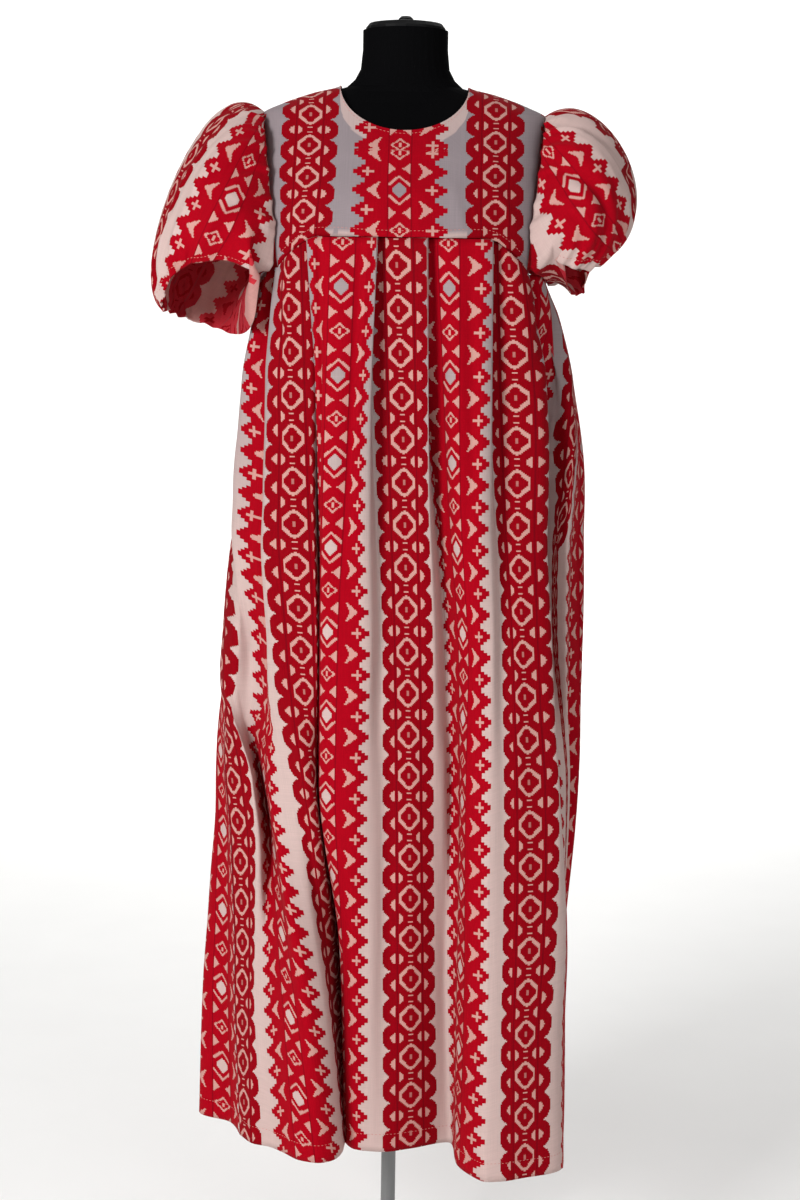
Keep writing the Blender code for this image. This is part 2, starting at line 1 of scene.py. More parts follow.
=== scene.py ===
"""Looks of the folk dress on its dress form: cloth shells with their folds, woven pattern,
stitches and materials, with the studio around them.

Metres, in the frame of the CAD model: +Z up, the front faces -Y, the origin is on the floor.
Tables of lengths are in millimetres. Every sheet of cloth carries its place in the weave as its
UV map, in metres across and down, and the woven bands are drawn from that, so the pattern follows
each fold. The map is the sheet's own flat measure, apart from the front yoke, the plain strip of
the right sleeve, and the gathers and deep side folds of the front skirt. There it is fitted so
that the bands lie as they do on the real dress.
"""

import math

import bpy
import numpy as np
from mathutils import Matrix


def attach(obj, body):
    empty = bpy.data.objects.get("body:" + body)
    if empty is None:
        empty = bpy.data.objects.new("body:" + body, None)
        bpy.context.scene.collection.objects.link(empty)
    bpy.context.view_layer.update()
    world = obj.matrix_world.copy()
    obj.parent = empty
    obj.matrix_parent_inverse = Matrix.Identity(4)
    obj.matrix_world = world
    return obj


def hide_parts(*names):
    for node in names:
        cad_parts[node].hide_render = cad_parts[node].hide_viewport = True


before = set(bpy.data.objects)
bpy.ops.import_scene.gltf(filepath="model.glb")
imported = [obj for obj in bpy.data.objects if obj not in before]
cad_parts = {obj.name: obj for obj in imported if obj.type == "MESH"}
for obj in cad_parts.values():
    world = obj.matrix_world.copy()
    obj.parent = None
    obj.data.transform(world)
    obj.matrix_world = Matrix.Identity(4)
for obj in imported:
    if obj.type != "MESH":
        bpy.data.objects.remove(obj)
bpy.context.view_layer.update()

MM = 0.001
WALL = 1.0 * MM
SEAM_GAP = 0.6 * MM
SEAM_DROP = 0.9 * MM

# Driving heights, as in the CAD model
HEM = 243 * MM
YOKE_SEAM = 1442 * MM
UNDERARM = 1386 * MM
UNDERARM_REACH = 84 * MM

# Yoke sizes
SHOULDER_TIP = 180 * MM
NECK_POINT = 82 * MM
FRONT_NECK_DROP = 60 * MM
BACK_NECK_DROP = 24 * MM
YOKE_CORNER = 157 * MM
YOKE_CORNER_DROP = 38 * MM
YOKE_STRAIGHT = 104 * MM
NECK_CROWDING = 0.38
CORNER_CURVE = 1.7

# Fineness of each mesh
SKIRT_COLUMNS = 330
SKIRT_ROWS = 130
BACK_COLUMNS = 270
YOKE_SHOULDER_STEPS = 26
YOKE_NECK_STEPS = 52
YOKE_ROWS = 60
SLEEVE_COLUMNS = 240
SLEEVE_ROWS = 70
CAD_SKIRT_COLUMNS = 78

# Body of the form and the room that the cloth leaves round it.
# height, half width, front depth, back depth, squareness, ease at the side, in front, behind
FORM_SECTIONS = (
    (945, 136, 66, 84, 2.1, 0, 0, 0),
    (960, 146, 74, 94, 2.1, 0, 0, 0),
    (1035, 152, 79, 102, 2.1, 0, 0, 0),
    (1130, 134, 76, 94, 2.1, 38, 48, 38),
    (1210, 116, 76, 82, 2.1, 46, 46, 38),
    (1300, 128, 88, 88, 2.1, 48, 38, 34),
    (1385, 142, 102, 96, 2.3, 46, 29, 26),
    (1442, 150, 110, 99, 2.4, 37, 21, 21),
    (1490, 163, 106, 102, 2.5, 23, 12, 13),
    (1540, 176, 90, 100, 2.5, 9.5, 4, 3),
    (1575, 179, 70, 82, 2.4, 6, 4, 4),
    (1598, 173, 56, 63, 2.3, 9.5, 5, 5),
    (1611, 146, 48, 53, 2.2, 12, 7.5, 7.5),
    (1625, 104, 42, 47, 2.1, 14, 10, 10),
    (1633, 75, 42, 45, 2.0, 11, 9.5, 9.5),
    (1643, 64, 45, 45, 2.0, 8, 8, 8),
    (1656, 57, 48, 48, 2.0, 5, 6, 6),
    (1680, 54.5, 50, 50, 2.0, 1.6, 1.6, 1.6),
    (1704, 54.5, 50, 50, 2.0, 1.6, 1.6, 1.6),
)

# Front skirt at six heights, as in the CAD model but for two rows at the hip, where the fold is
# shallower. Each row is one line of the cloth: its place across the cut width, then where it
# hangs. A place where the cloth turns back on itself is a pleat's edge.
# cloth, across, depth
FRONT_AT_SEAM = (
    (-478, -182, 4),
    (-440, -179, -20),
    (-412, -159, -28),
    (-384, -177, -42),
    (-348, -164, -70),
    (-318, -147, -61),
    (-287, -157, -83),
    (-258, -149, -95),
    (-233, -141, -107),
    (-208, -119, -109),
    (-188, -101, -112),
    (-167, -119, -124),
    (-116, -73, -131),
    (-72, -30, -133),
    (-49, -51, -121),
    (-25, -29, -122),
    (0, -6, -131),
    (38, 32, -132),
    (64, 9, -120),
    (90, 32, -121),
    (116, 59, -129),
    (172, 113, -120),
    (191, 96, -109),
    (210, 114, -108),
    (233, 134, -108),
    (268, 157, -83),
    (303, 141, -62),
    (340, 167, -66),
    (375, 180, -38),
    (405, 160, -24),
    (432, 181, -14),
    (471, 184, 4),
)
FRONT_AT_WAIST = (
    (-478, -196, 74),
    (-440, -212, 44),
    (-398, -196, 14),
    (-358, -217, -20),
    (-312, -182, -58),
    (-295, -170, -68),
    (-273, -172, -90),
    (-253, -156, -101),
    (-233, -134, -109),
    (-206, -109, -110),
    (-175, -102, -80),
    (-143, -102, -113),
    (-116, -80, -126),
    (-79, -45, -133),
    (-66, -36, -130),
    (-42, -31, -107),
    (0, 9, -110),
    (38, 38, -117),
    (70, 43, -87),
    (116, 70, -122),
    (154, 103, -129),
    (171, 117, -122),
    (197, 121, -97),
    (233, 152, -100),
    (269, 186, -87),
    (347, 160, -14),
    (415, 219, -54),
    (471, 229, -2),
)
FRONT_AT_HIP = (
    (-478, -216, 26),
    (-445, -231, -2),
    (-415, -224, -28),
    (-385, -205, -46),
    (-350, -190, -40),
    (-312, -171, -58),
    (-290, -166, -76),
    (-270, -158, -93),
    (-253, -143, -104),
    (-233, -122, -110),
    (-208, -102, -113),
    (-176, -98, -72),
    (-139, -99, -109),
    (-116, -88, -122),
    (-79, -46, -131),
    (-62, -33, -128),
    (-40, -20, -110),
    (0, 15, -110),
    (37, 48, -112),
    (60, 63, -88),
    (116, 86, -127),
    (154, 106, -146),
    (172, 121, -146),
    (197, 137, -132),
    (233, 166, -128),
    (272, 205, -114),
    (345, 172, -24),
    (413, 228, -52),
    (471, 237, 4),
)
FRONT_AT_KNEE = (
    (-478, -228, -22),
    (-466, -221, -32),
    (-423, -188, -62),
    (-378, -181, -18),
    (-312, -164, -80),
    (-269, -132, -107),
    (-248, -115, -117),
    (-233, -104, -111),
    (-178, -98, -62),
    (-135, -98, -105),
    (-116, -88, -118),
    (-79, -52, -127),
    (-58, -34, -123),
    (-36, -14, -113),
    (0, 19, -110),
    (36, 51, -106),
    (52, 64, -100),
    (67, 74, -87),
    (116, 89, -132),
    (154, 108, -162),
    (173, 122, -168),
    (197, 141, -164),
    (233, 171, -154),
    (275, 211, -139),
    (327, 204, -90),
    (407, 234, -28),
    (471, 228, 25),
)
FRONT_AT_CALF = (
    (-478, -219, -52),
    (-448, -198, -74),
    (-413, -178, -90),
    (-383, -160, -105),
    (-350, -139, -130),
    (-312, -113, -151),
    (-283, -91, -141),
    (-183, -67, -36),
    (-116, -68, -100),
    (-79, -47, -127),
    (-58, -30, -127),
    (-36, -10, -121),
    (0, 25, -116),
    (36, 57, -105),
    (53, 71, -97),
    (63, 76, -100),
    (116, 90, -147),
    (154, 112, -178),
    (173, 124, -188),
    (197, 143, -187),
    (233, 176, -177),
    (275, 215, -161),
    (289, 224, -149),
    (407, 228, -40),
    (471, 224, 20),
)
FRONT_AT_HEM = (
    (-478, -205, -76),
    (-441, -184, -104),
    (-419, -162, -112),
    (-391, -140, -130),
    (-356, -116, -153),
    (-332, -92, -160),
    (-306, -70, -148),
    (-278, -60, -118),
    (-183, -56, -26),
    (-116, -60, -86),
    (-79, -44, -117),
    (-36, -7, -123),
    (0, 30, -111),
    (53, 80, -90),
    (60, 85, -95),
    (116, 89, -152),
    (154, 106, -188),
    (179, 128, -208),
    (197, 146, -206),
    (233, 178, -194),
    (283, 222, -174),
    (299, 231, -160),
    (417, 237, -44),
    (471, 226, 8),
)

# Back skirt: a smooth round of cloth between the side seams, with folds standing off it.
# share of the way round, then how far the cloth stands out at seam, waist, knee and hem
BACK_FOLDS = (
    (0.00, 0, 0, 0, 0),
    (0.05, -7, -6, -3, -8),
    (0.11, 6, 6, 12, 14),
    (0.17, -8, -13, -16, -12),
    (0.23, 5, 9, 10, 6),
    (0.27, 6, 12, 18, 20),
    (0.33, -8, -14, -20, -24),
    (0.38, 5, 5, -4, -10),
    (0.43, 6, 13, 21, 27),
    (0.50, -9, -14, -18, -20),
    (0.56, 5, 9, 10, 8),
    (0.61, 6, 12, 22, 28),
    (0.67, -9, -16, -23, -26),
    (0.72, 3, 2, -6, -9),
    (0.77, 6, 12, 17, 22),
    (0.83, -8, -13, -17, -18),
    (0.88, 5, 9, 14, 15),
    (0.94, -7, -5, -8, -6),
    (1.00, 0, 0, 0, 0),
)
# share of the drop, widest at left, widest at right, depth behind
BACK_ROUNDS = (
    (0.00, -178, 180, 120),
    (0.12, -196, 214, 126),
    (0.25, -218, 246, 132),
    (0.43, -232, 262, 140),
    (0.58, -240, 258, 148),
    (0.76, -252, 248, 156),
    (1.00, -264, 242, 166),
)

# How far the sides of both skirt pieces stand out further, and where across that begins
# share of the drop, at left, at right
SIDE_SPREAD = (
    (0.00, 5, 5),
    (0.04, 9, 16),
    (0.10, 9, 21),
    (0.14, 5, 18),
    (0.19, 1, 13),
    (0.25, 1, 5),
    (0.31, 6, -2),
    (0.41, 3, -5),
    (0.48, 8, -3),
    (0.57, 0, 2.5),
    (0.66, -8, 4),
    (0.75, -8, 2),
    (0.84, -5, -2.5),
    (1.00, -3, -1),
)
SPREAD_FROM = 130 * MM
SPREAD_OVER = 60 * MM

# The back: share of the drop at each column of BACK_FOLDS, how square its round is, the depth at
# which that round begins, and the points on one level of it and those over which it is evened out
BACK_FOLD_LEVELS = (0.0, 0.25, 0.58, 1.0)
BACK_SQUARENESS = 2.3
BACK_START = 20 * MM
LEVEL_POINTS = 400
EVENED_OVER = 31

# Share of the way from yoke seam to hem at which each front table lies
FRONT_LEVELS = (
    (0.00, FRONT_AT_SEAM),
    (0.25, FRONT_AT_WAIST),
    (0.43, FRONT_AT_HIP),
    (0.58, FRONT_AT_KNEE),
    (0.785, FRONT_AT_CALF),
    (1.00, FRONT_AT_HEM),
)

# Sleeves: each line runs from the armhole to the hem, drawn by a handle near the head and one
# near the hem. 0 degrees is the top or outer line, 90 the front, 180 the underarm, 270 the back.
# Three hem points of the right sleeve lie a little further out than in the CAD model.
# around, head handle across, depth, height, low handle across, depth, height, hem across,
# depth, height
SLEEVE_LEFT = (
    (0, -256, 0, 1668, -362, 0, 1396, -311, -18, 1350),
    (40, -246, -72, 1630, -342, -66, 1414, -303, -52, 1366),
    (70, -232, -110, 1576, -302, -106, 1440, -290, -74, 1391),
    (100, -216, -122, 1512, -250, -126, 1444, -240, -92, 1411),
    (128, -190, -114, 1456, -196, -124, 1424, -178, -108, 1392),
    (155, -196, -78, 1396, -200, -94, 1362, -186, -96, 1335),
    (180, -203, -8, 1386, -211, -18, 1354, -206, -32, 1318),
    (205, -206, 60, 1398, -226, 62, 1356, -222, 38, 1316),
    (240, -208, 112, 1470, -256, 106, 1384, -252, 62, 1325),
    (275, -232, 116, 1552, -316, 100, 1400, -286, 58, 1335),
    (315, -250, 76, 1632, -342, 60, 1402, -304, 22, 1344),
)
SLEEVE_RIGHT = (
    (0, 256, 0, 1650, 354, 0, 1484, 266, -10, 1432),
    (40, 246, -74, 1618, 340, -66, 1484, 254, -46, 1416),
    (70, 240, -110, 1578, 300, -104, 1480, 236, -74, 1406),
    (100, 220, -124, 1520, 262, -126, 1462, 214, -88, 1408),
    (135, 190, -112, 1462, 210, -112, 1450, 192, -88, 1418),
    (165, 200, -66, 1402, 211, -66, 1396, 209, -56, 1392),
    (180, 203, -4, 1391, 212, -6, 1384, 217, -8, 1379),
    (205, 206, 60, 1402, 222, 60, 1392, 228, 36, 1374),
    (240, 210, 112, 1474, 244, 104, 1426, 242, 60, 1378),
    (275, 230, 116, 1550, 290, 100, 1450, 244, 62, 1404),
    (315, 244, 76, 1618, 334, 60, 1480, 258, 30, 1421),
)
GATHERS_ROUND_SLEEVE = 15
# The gathers are calm near the underarm: where round the sleeve, how far to each side, how much
CALM_AT = 165
CALM_REACH = 50
CALM_SHARE = 0.85
HEAD_GATHER = 2.6 * MM
HEM_GATHER = 2.2 * MM

# Weave sizes in millimetres
CELL_ACROSS = 3.33
CELL_DOWN = 3.406
BAND_SPACING = 116.5
PITCH = 54.5
LOBE = PITCH * 2 / 3
WEFT_SPACING = 1.1
WARP_SPACING = 0.9
# Half width of the wide band at the tips of its leaves, and the bare ground beside it
WIDE_EDGE = 61.0
BAND_GAP = 17

# Centre lines of the bands on the front yoke: height, narrow band, wide band, narrow band
YOKE_BANDS = (
    (1400, -129, -3.0, 117.0),
    (1470, -124.5, -4.0, 114.5),
    (1515, -120, -5.5, 114.3),
    (1560, -118.5, -4.7, 115.0),
    (1600, -118, -4.7, 116.0),
)

# Left of its narrow band the yoke turns away below this height, and its weave is drawn closer
LEFT_CLOSER_FROM = 1520
LEFT_CLOSER_OVER = 60
LEFT_CLOSER = 0.3

# Front yoke in the weave, in millimetres above the pleat seam: the large diamond in the middle
# and how much closer its figures lie, where the facing starts them anew and by how much, and for
# the narrow bands at the left and the right one ring and the distance from it to the next
MIDDLE_DIAMOND = 60.0
MIDDLE_CLOSENESS = 1.05
FACING_FIGURES = 116
FACING_STEP = 12.1
LEFT_RINGS = (31.1, 45.0)
RIGHT_RINGS = (33.0, 48.0)

# Facing and allowance are second layers, so less of the dark form shows through them
NECK_FACING = 30 * MM
SEAM_ALLOWANCE = 5 * MM
TWO_LAYERS_SHOW = 0.25
# Stitches: how far from the neck, how many rows of points above the pleat seam, at which share
# of a sleeve's fall, and how high their middles lie over the cloth
NECK_STITCHES = 5 * MM
PLEAT_STITCHES = 2.2
SLEEVE_STITCHES = 0.94
STITCH_LIFT = 0.15 * MM

# Soft creases: from across and up, to across and up, width and height, in millimetres
YOKE_CREASES = {
    "yoke_cloth_front": (
        (-146, 8, -108, 74, 7, 1.9),
        (-132, 82, -88, 124, 6, 1.5),
        (142, 12, 104, 82, 7, 2.1),
        (130, 78, 92, 128, 6, 1.5),
        (-64, 4, -50, 92, 8, 1.4),
        (16, 4, 27, 66, 7, 1.3),
        (74, 6, 60, 76, 8, 1.5),
        (4, 58, -10, 106, 6, 1.1),
        (-24, 2, -30, 48, 6, 1.2),
    ),
    "yoke_cloth_back": (
        (-142, 10, -98, 88, 8, 1.9),
        (138, 14, 102, 76, 7, 1.8),
        (-50, 6, -62, 120, 9, 1.4),
        (34, 4, 44, 96, 8, 1.5),
        (88, 30, 60, 140, 9, 1.3),
        (-12, 20, -4, 130, 8, 1.1),
    ),
}

# Cloth that the deep fold at each side swallows beyond what the grid holds, in millimetres, judged
# by where the bands come out of it: a row of places across the cloth, then at each height the
# length that is hidden there. To the right it counts backwards.
SIDE_FOLDS = (
    (
        (None, -478, -412, -349, -318, -292, -284),
        (243, 4, 0, 0, 0, 0, 0),
        (640, 8, -2, 0, 0, 0, 0),
        (715, 8, -2, 4, 2, 0, 0),
        (760, 6, 4, 25, 14, 5, 0),
        (800, 4, 12, 45, 40, 25, 0),
        (840, 4, 22, 61, 80, 80, 0),
        (880, 6, 34, 64, 72, 88, 0),
        (930, 10, 27, 65, 67, 88, 0),
        (1000, 15, 18, 65, 68, 88, 0),
        (1150, 50, 58, 66, 71, 88, 0),
        (1260, 44, 46, 53, 54, 54, 0),
        (1340, 36, 38, 42, 44, 62, 0),
        (1442, 30, 30, 34, 36, 56, 0),
    ),
    (
        (None, 292, 300, 372, 390, 398, 430, 471),
        (243, 0, -30, -32, -32, -110, -112, -106),
        (1020, 0, -30, -32, -32, -110, -112, -106),
        (1120, 0, -30, -35, -38, -50, -95, -100),
        (1190, 0, -40, -46, -46, -44, -38, -34),
        (1250, 0, -22, -26, -26, -26, -22, -18),
        (1310, 0, -8, -8, -8, -8, -4, 0),
        (1360, 0, 10, 10, 10, 10, 6, 0),
        (1442, 0, 10, 10, 10, 10, 6, 0),
    ),
)

HEM_DEPTH = 24 * MM
# The back is cut narrower than the front
BACK_WIDTH = 0.84
# Near the seam fine gathers hold in some cloth, down to HELD_DOWN, and let it out below:
# place in the folds, place on the cut
HELD_DOWN = 380 * MM
LET_OUT_OVER = 260 * MM
HELD_IN = (
    (-478, -478),
    (-188, -188),
    (-167, -181),
    (-162, -176.5),
    (-131, -131),
    (-102, -102),
    (-74, -57),
    (-49, -49),
    (0, 2.5),
    (64, 64),
    (90, 91),
    (116, 119),
    (172, 182),
    (191, 191),
    (233, 236),
    (303, 303),
    (471, 471),
)
# Soft creases: from across and down, to across and down, width and height, in millimetres
SKIRT_CREASES = {
    "skirt_cloth_front": (
        (-146, -30, -152, 590, 9, -6.5),
        (-158, -20, -163, 460, 5, 2.4),
        (-86, -20, -84, 300, 5, 2.4),
        (-94, -25, -99, 430, 9, -4.5),
        (-118, 50, -120, 520, 13, 3.0),
        (-24, -20, -28, 380, 9, -3.5),
        (17, 40, 25, 540, 10, 2.8),
        (94, -20, 100, 400, 10, -4.5),
        (142, -30, 150, 330, 9, -3.5),
        (126, 60, 128, 500, 12, 3.5),
        (213, -10, 219, 540, 11, -4.5),
        (250, 20, 263, 640, 14, 4.0),
        (196, 420, 206, 1180, 15, -4.5),
        (128, 560, 150, 1190, 17, 5.0),
        (92, 640, 78, 1160, 13, -4.0),
        (10, 520, -6, 1120, 16, 3.5),
        (-30, 600, -34, 1200, 12, -4.0),
        (-293, 10, -295, 620, 5, -4.5),
        (-281, 10, -283, 620, 5, 2.5),
        (-276, 30, -238, 170, 9, -3.5),
        (-252, 210, -240, 640, 12, -4.0),
        (-300, 640, -322, 1170, 16, 4.0),
        (-262, 640, -246, 1160, 14, -5.0),
        (-420, 760, -436, 1180, 15, 3.0),
        (286, 40, 246, 190, 9, -3.5),
        (330, 220, 306, 460, 11, 3.5),
        (372, 300, 396, 900, 15, -5.0),
        (296, 640, 318, 1180, 16, 4.5),
    ),
    "skirt_cloth_back": (
        (-420, 60, -404, 700, 15, -5.0),
        (-352, -20, -366, 560, 13, 4.5),
        (-300, 40, -296, 820, 14, -4.5),
        (-232, -30, -246, 480, 11, 4.0),
        (-190, 260, -176, 1130, 16, -5.0),
        (-118, -10, -126, 700, 13, -4.0),
        (-70, 330, -92, 1180, 17, 4.5),
        (-14, -30, -20, 620, 12, 3.5),
        (40, 120, 30, 1080, 15, -4.5),
        (104, -20, 112, 520, 12, -4.0),
        (150, 380, 172, 1190, 17, 5.0),
        (226, 10, 214, 900, 14, -4.5),
        (292, -10, 308, 540, 12, 4.0),
        (346, 240, 330, 1100, 16, -5.0),
        (410, 60, 424, 960, 15, 4.5),
    ),
}

# The form shows through the skirt from this height, and fully this much further up
FORM_SHOWS_FROM = 1020 * MM
FORM_SHOWS_OVER = 300 * MM
FORM_SHOWS = 0.8
# The skirt's own allowance turns in this far behind the yoke, and is this long
TURNED_IN = 1.6 * MM
TURNED_LENGTH = 9 * MM
ALLOWANCE_STEP = 0.2 * MM

# Millimetres of sleeve cloth to one degree round it, and to one hundredth of its fall
SLEEVE_TURN = 1.7
SLEEVE_FALL = 1.7
# Main folds of a sleeve: from turn and share of the fall, to turn and share, width, height
SLEEVE_FOLDS = {
    "sleeve_cloth_left": (
        (14, -4, 10, 44, 8, 4.0),
        (25, -4, 21, 38, 5, -5.0),
        (44, -2, 50, 66, 7, -5.5),
        (58, -4, 66, 52, 9, 4.0),
        (84, 2, 72, 70, 8, -3.0),
        (104, 30, 92, 104, 9, 3.5),
        (122, 10, 114, 84, 7, -3.0),
        (228, 6, 240, 88, 9, -4.0),
        (268, 0, 280, 70, 9, 4.0),
        (316, 4, 304, 80, 9, -4.0),
    ),
    "sleeve_cloth_right": (
        (36, -2, 44, 60, 8, -4.5),
        (62, -2, 58, 66, 9, 4.0),
        (88, 14, 76, 92, 8, -3.5),
        (112, 6, 102, 74, 8, 3.0),
        (236, 4, 226, 84, 9, -4.0),
        (274, 2, 286, 78, 9, 4.0),
        (318, 0, 326, 68, 9, -4.0),
    ),
}

# Fine gathers of each sleeve, beside its main folds: how many, and the degrees between them
FINE_GATHERS = 30
GATHER_STEP = 11.7

# Depth of the first large diamond below the pleat seam
FIRST_DIAMOND = 61.4 * MM
SLEEVE_CUT_WIDTH = 6 * BAND_SPACING * MM
SLEEVE_STRETCH = 1.045
# Bare ground beside the wide band, from this height up: its width on each sleeve, and how far from
# the band's middle it begins
PLAIN_FROM = 1530 * MM
PLAIN_OVER = 20 * MM
PLAIN_STRIP = {"sleeve_cloth_left": 0.0, "sleeve_cloth_right": 46 * MM}
PLAIN_EDGE = 62 * MM
# How far in front the large diamonds lie that place each sleeve in the weave
DIAMOND_DEPTH = -112
# tilt of the bands from upright, a large diamond's place across and up, the tube's middle
SLEEVE_GRAIN = {
    "sleeve_cloth_left": (-25.6, -212, 1485, -238, 1468),
    "sleeve_cloth_right": (38, 212, 1508, 228, 1500),
}

# Studio: the floor's half width, its reach to the front and back, and the round where it turns up
FLOOR_HALF_WIDTH = 12.0
FLOOR_FRONT = -9.0
FLOOR_BACK = 8.0
FLOOR_ROUND = 2.0
FLOOR_TOP = 7.0
FLOOR_STEPS = 12
# Camera of the photograph: focal length on its sensor in millimetres, place, and degrees of tilt
# up from straight down and of roll
LENS = 59.1
SENSOR = 36.0
CAMERA_PLACE = (0.004, -2.6, 1.38)
CAMERA_TILT = 81
CAMERA_ROLL = 0.9

# Colours of the cloth's two sides, and how much light each lets through. The wrong side's ground
# and reds are partly painted light: they are lighter than the yarn, for the insides that lie in shade.
RIGHT_SIDE = {
    "ground": (0.60, 0.445, 0.415, 1.0),
    "ground_over_form": (0.30, 0.25, 0.265, 1.0),
    "red_deep": (0.225, 0.0, 0.004, 1.0),
    "red_bright": (0.45, 0.0, 0.010, 1.0),
    "motif": (0.60, 0.31, 0.27, 1.0),
    "line": (0.12, 0.001, 0.006, 1.0),
    "translucence": 0.2,
}
# Wrong side: the reversed figures, dark on red, are woven; the ground and reds are painted lighter
# than the yarn, as painted light on the insides of the sleeves and skirt, which lie in shade.
WRONG_SIDE_PAINTED_LIGHTER = {
    "ground": (0.74, 0.44, 0.41, 1.0),
    "ground_over_form": (0.45, 0.25, 0.24, 1.0),
    "red_deep": (0.70, 0.04, 0.065, 1.0),
    "red_bright": (0.80, 0.06, 0.085, 1.0),
    "motif": (0.50, 0.008, 0.02, 1.0),
    "line": (0.50, 0.10, 0.12, 1.0),
    "translucence": 0.6,
}


# Shapes of the cloth, by the same rules as the CAD model, with calmer gathers under the arms


def slopes(places, values):
    """Slopes of a smooth curve through the values that never swings past them."""
    step = np.diff(places)
    rise = np.diff(values, axis=0) / step[:, None]
    slope = np.zeros_like(values)
    slope[0] = rise[0]
    slope[-1] = rise[-1]
    before, after = rise[:-1], rise[1:]
    turning = before * after <= 0
    weight_a = (2 * step[1:] + step[:-1])[:, None]
    weight_b = (step[1:] + 2 * step[:-1])[:, None]
    safe_before = np.where(turning, 1.0, before)
    safe_after = np.where(turning, 1.0, after)
    mean = (weight_a + weight_b) / (weight_a / safe_before + weight_b / safe_after)
    slope[1:-1] = np.where(turning, 0.0, mean)
    return slope


def smooth_between(places, values, at):
    """Smooth curve through rows of values, read at the places given."""
    places = np.asarray(places, float)
    values = np.asarray(values, float)
    at = np.clip(np.asarray(at, float), places[0], places[-1])
    slope = slopes(places, values)
    row = np.clip(np.searchsorted(places, at, side="right") - 1, 0, len(places) - 2)
    step = (places[row + 1] - places[row])[:, None]
    t = (at - places[row])[:, None] / step
    start = values[row] * (1 + 2 * t) * (1 - t) ** 2 + slope[row] * step * t * (1 - t) ** 2
    end = values[row + 1] * t * t * (3 - 2 * t) + slope[row + 1] * step * t * t * (t - 1)
    return start + end


def grid_normals(points, wraps):
    """Unit normals of a grid of points, rows down the cloth and columns across it."""
    down = np.gradient(points, axis=0)
    if wraps:
        across = np.roll(points, -1, axis=1) - np.roll(points, 1, axis=1)
    else:
        across = np.gradient(points, axis=1)
    normal = np.cross(across, down)
    return normal / np.maximum(np.linalg.norm(normal, axis=2, keepdims=True), 1e-12)


def outward_normals(grid, outward, wraps=False):
    """Unit normals of a grid of points, all turned to its outer side."""
    normal = grid_normals(grid, wraps)
    middle = normal[normal.shape[0] // 2, normal.shape[1] // 2]
    return -normal if float(np.dot(middle, outward)) < 0 else normal


def form_size(height, with_ease):
    """Half width, front depth, back depth and squareness at each height."""
    table = np.array(FORM_SECTIONS, float)
    sizes = smooth_between(table[:, 0] * MM, table[:, 1:], np.atleast_1d(height))
    room = sizes[:, 4:] * MM if with_ease else 0.0
    return sizes[:, :3] * MM + room, sizes[:, 3]


def cloth_depth(across, height, front):
    """Depth of the yoke's outer face at a place across and a height."""
    size, square = form_size(height, with_ease=True)
    share = np.clip(np.abs(across) / size[:, 0], 0.0, 1.0)
    bow = (1 - share**square) ** (1 / square)
    return -size[:, 1] * bow if front else size[:, 2] * bow


def shoulder_height(across):
    """Height of the shoulder line, where the round of the cloth closes at this width."""
    heights = np.linspace(1560 * MM, 1640 * MM, 161)
    widths = form_size(heights, with_ease=True)[0][:, 0]
    falling = slice(int(np.argmax(widths)), None)
    return np.interp(np.abs(across), widths[falling][::-1], heights[falling][::-1])


def yoke_seam_height(across):
    """The pleat seam is straight over the bust and drops towards each armhole."""
    past = np.clip((np.abs(across) - YOKE_STRAIGHT) / (YOKE_CORNER - YOKE_STRAIGHT), 0, 1)
    return YOKE_SEAM - YOKE_CORNER_DROP * past**CORNER_CURVE


def yoke_grid(front, neck_drop, shoulder_steps, neck_steps, rows):
    """Yoke from the pleat seam to the shoulder line, with half of the neck hole cut in it."""
    shoulder = np.linspace(SHOULDER_TIP, NECK_POINT, shoulder_steps + 1)
    part_way = np.linspace(0, 1, neck_steps + 1)[1:-1]
    swing = math.pi * part_way - NECK_CROWDING * np.sin(2 * math.pi * part_way)
    top_x = np.concatenate([-shoulder, -NECK_POINT * np.cos(swing), shoulder[::-1]])
    neck_z = shoulder_height(NECK_POINT) - neck_drop * np.sin(swing)
    shoulder_z = shoulder_height(shoulder)
    top_z = np.concatenate([shoulder_z, neck_z, shoulder_z[::-1]])
    step = np.hypot(np.diff(top_x), np.diff(top_z))
    along = np.concatenate([[0], np.cumsum(step)])
    low_x = YOKE_CORNER * (2 * along / along[-1] - 1)
    low_z = yoke_seam_height(low_x)
    down = np.linspace(0, 1, rows + 1)
    rise = np.sin((1 - down) * math.pi / 2)
    grid = np.zeros((rows + 1, len(top_x), 3))
    middle_gap = SEAM_GAP / 2 if front else -SEAM_GAP / 2
    for r, up in enumerate(rise):
        x = low_x + (top_x - low_x) * up
        z = low_z + (top_z - low_z) * up
        y = cloth_depth(x, z, front)
        grid[r] = np.stack([x, y - middle_gap, z], axis=1)
    return grid


def side_spread(points, down):
    """Moves the sides of a skirt piece outwards by SIDE_SPREAD, fading towards its middle."""
    table = np.array(SIDE_SPREAD, float)
    spread = smooth_between(table[:, 0], table[:, 1:] * MM, down)
    left = np.clip((-points[:, :, 0] - SPREAD_FROM) / SPREAD_OVER, 0, 1) * spread[:, :1]
    right = np.clip((points[:, :, 0] - SPREAD_FROM) / SPREAD_OVER, 0, 1) * spread[:, 1:]
    points[:, :, 0] += right - left


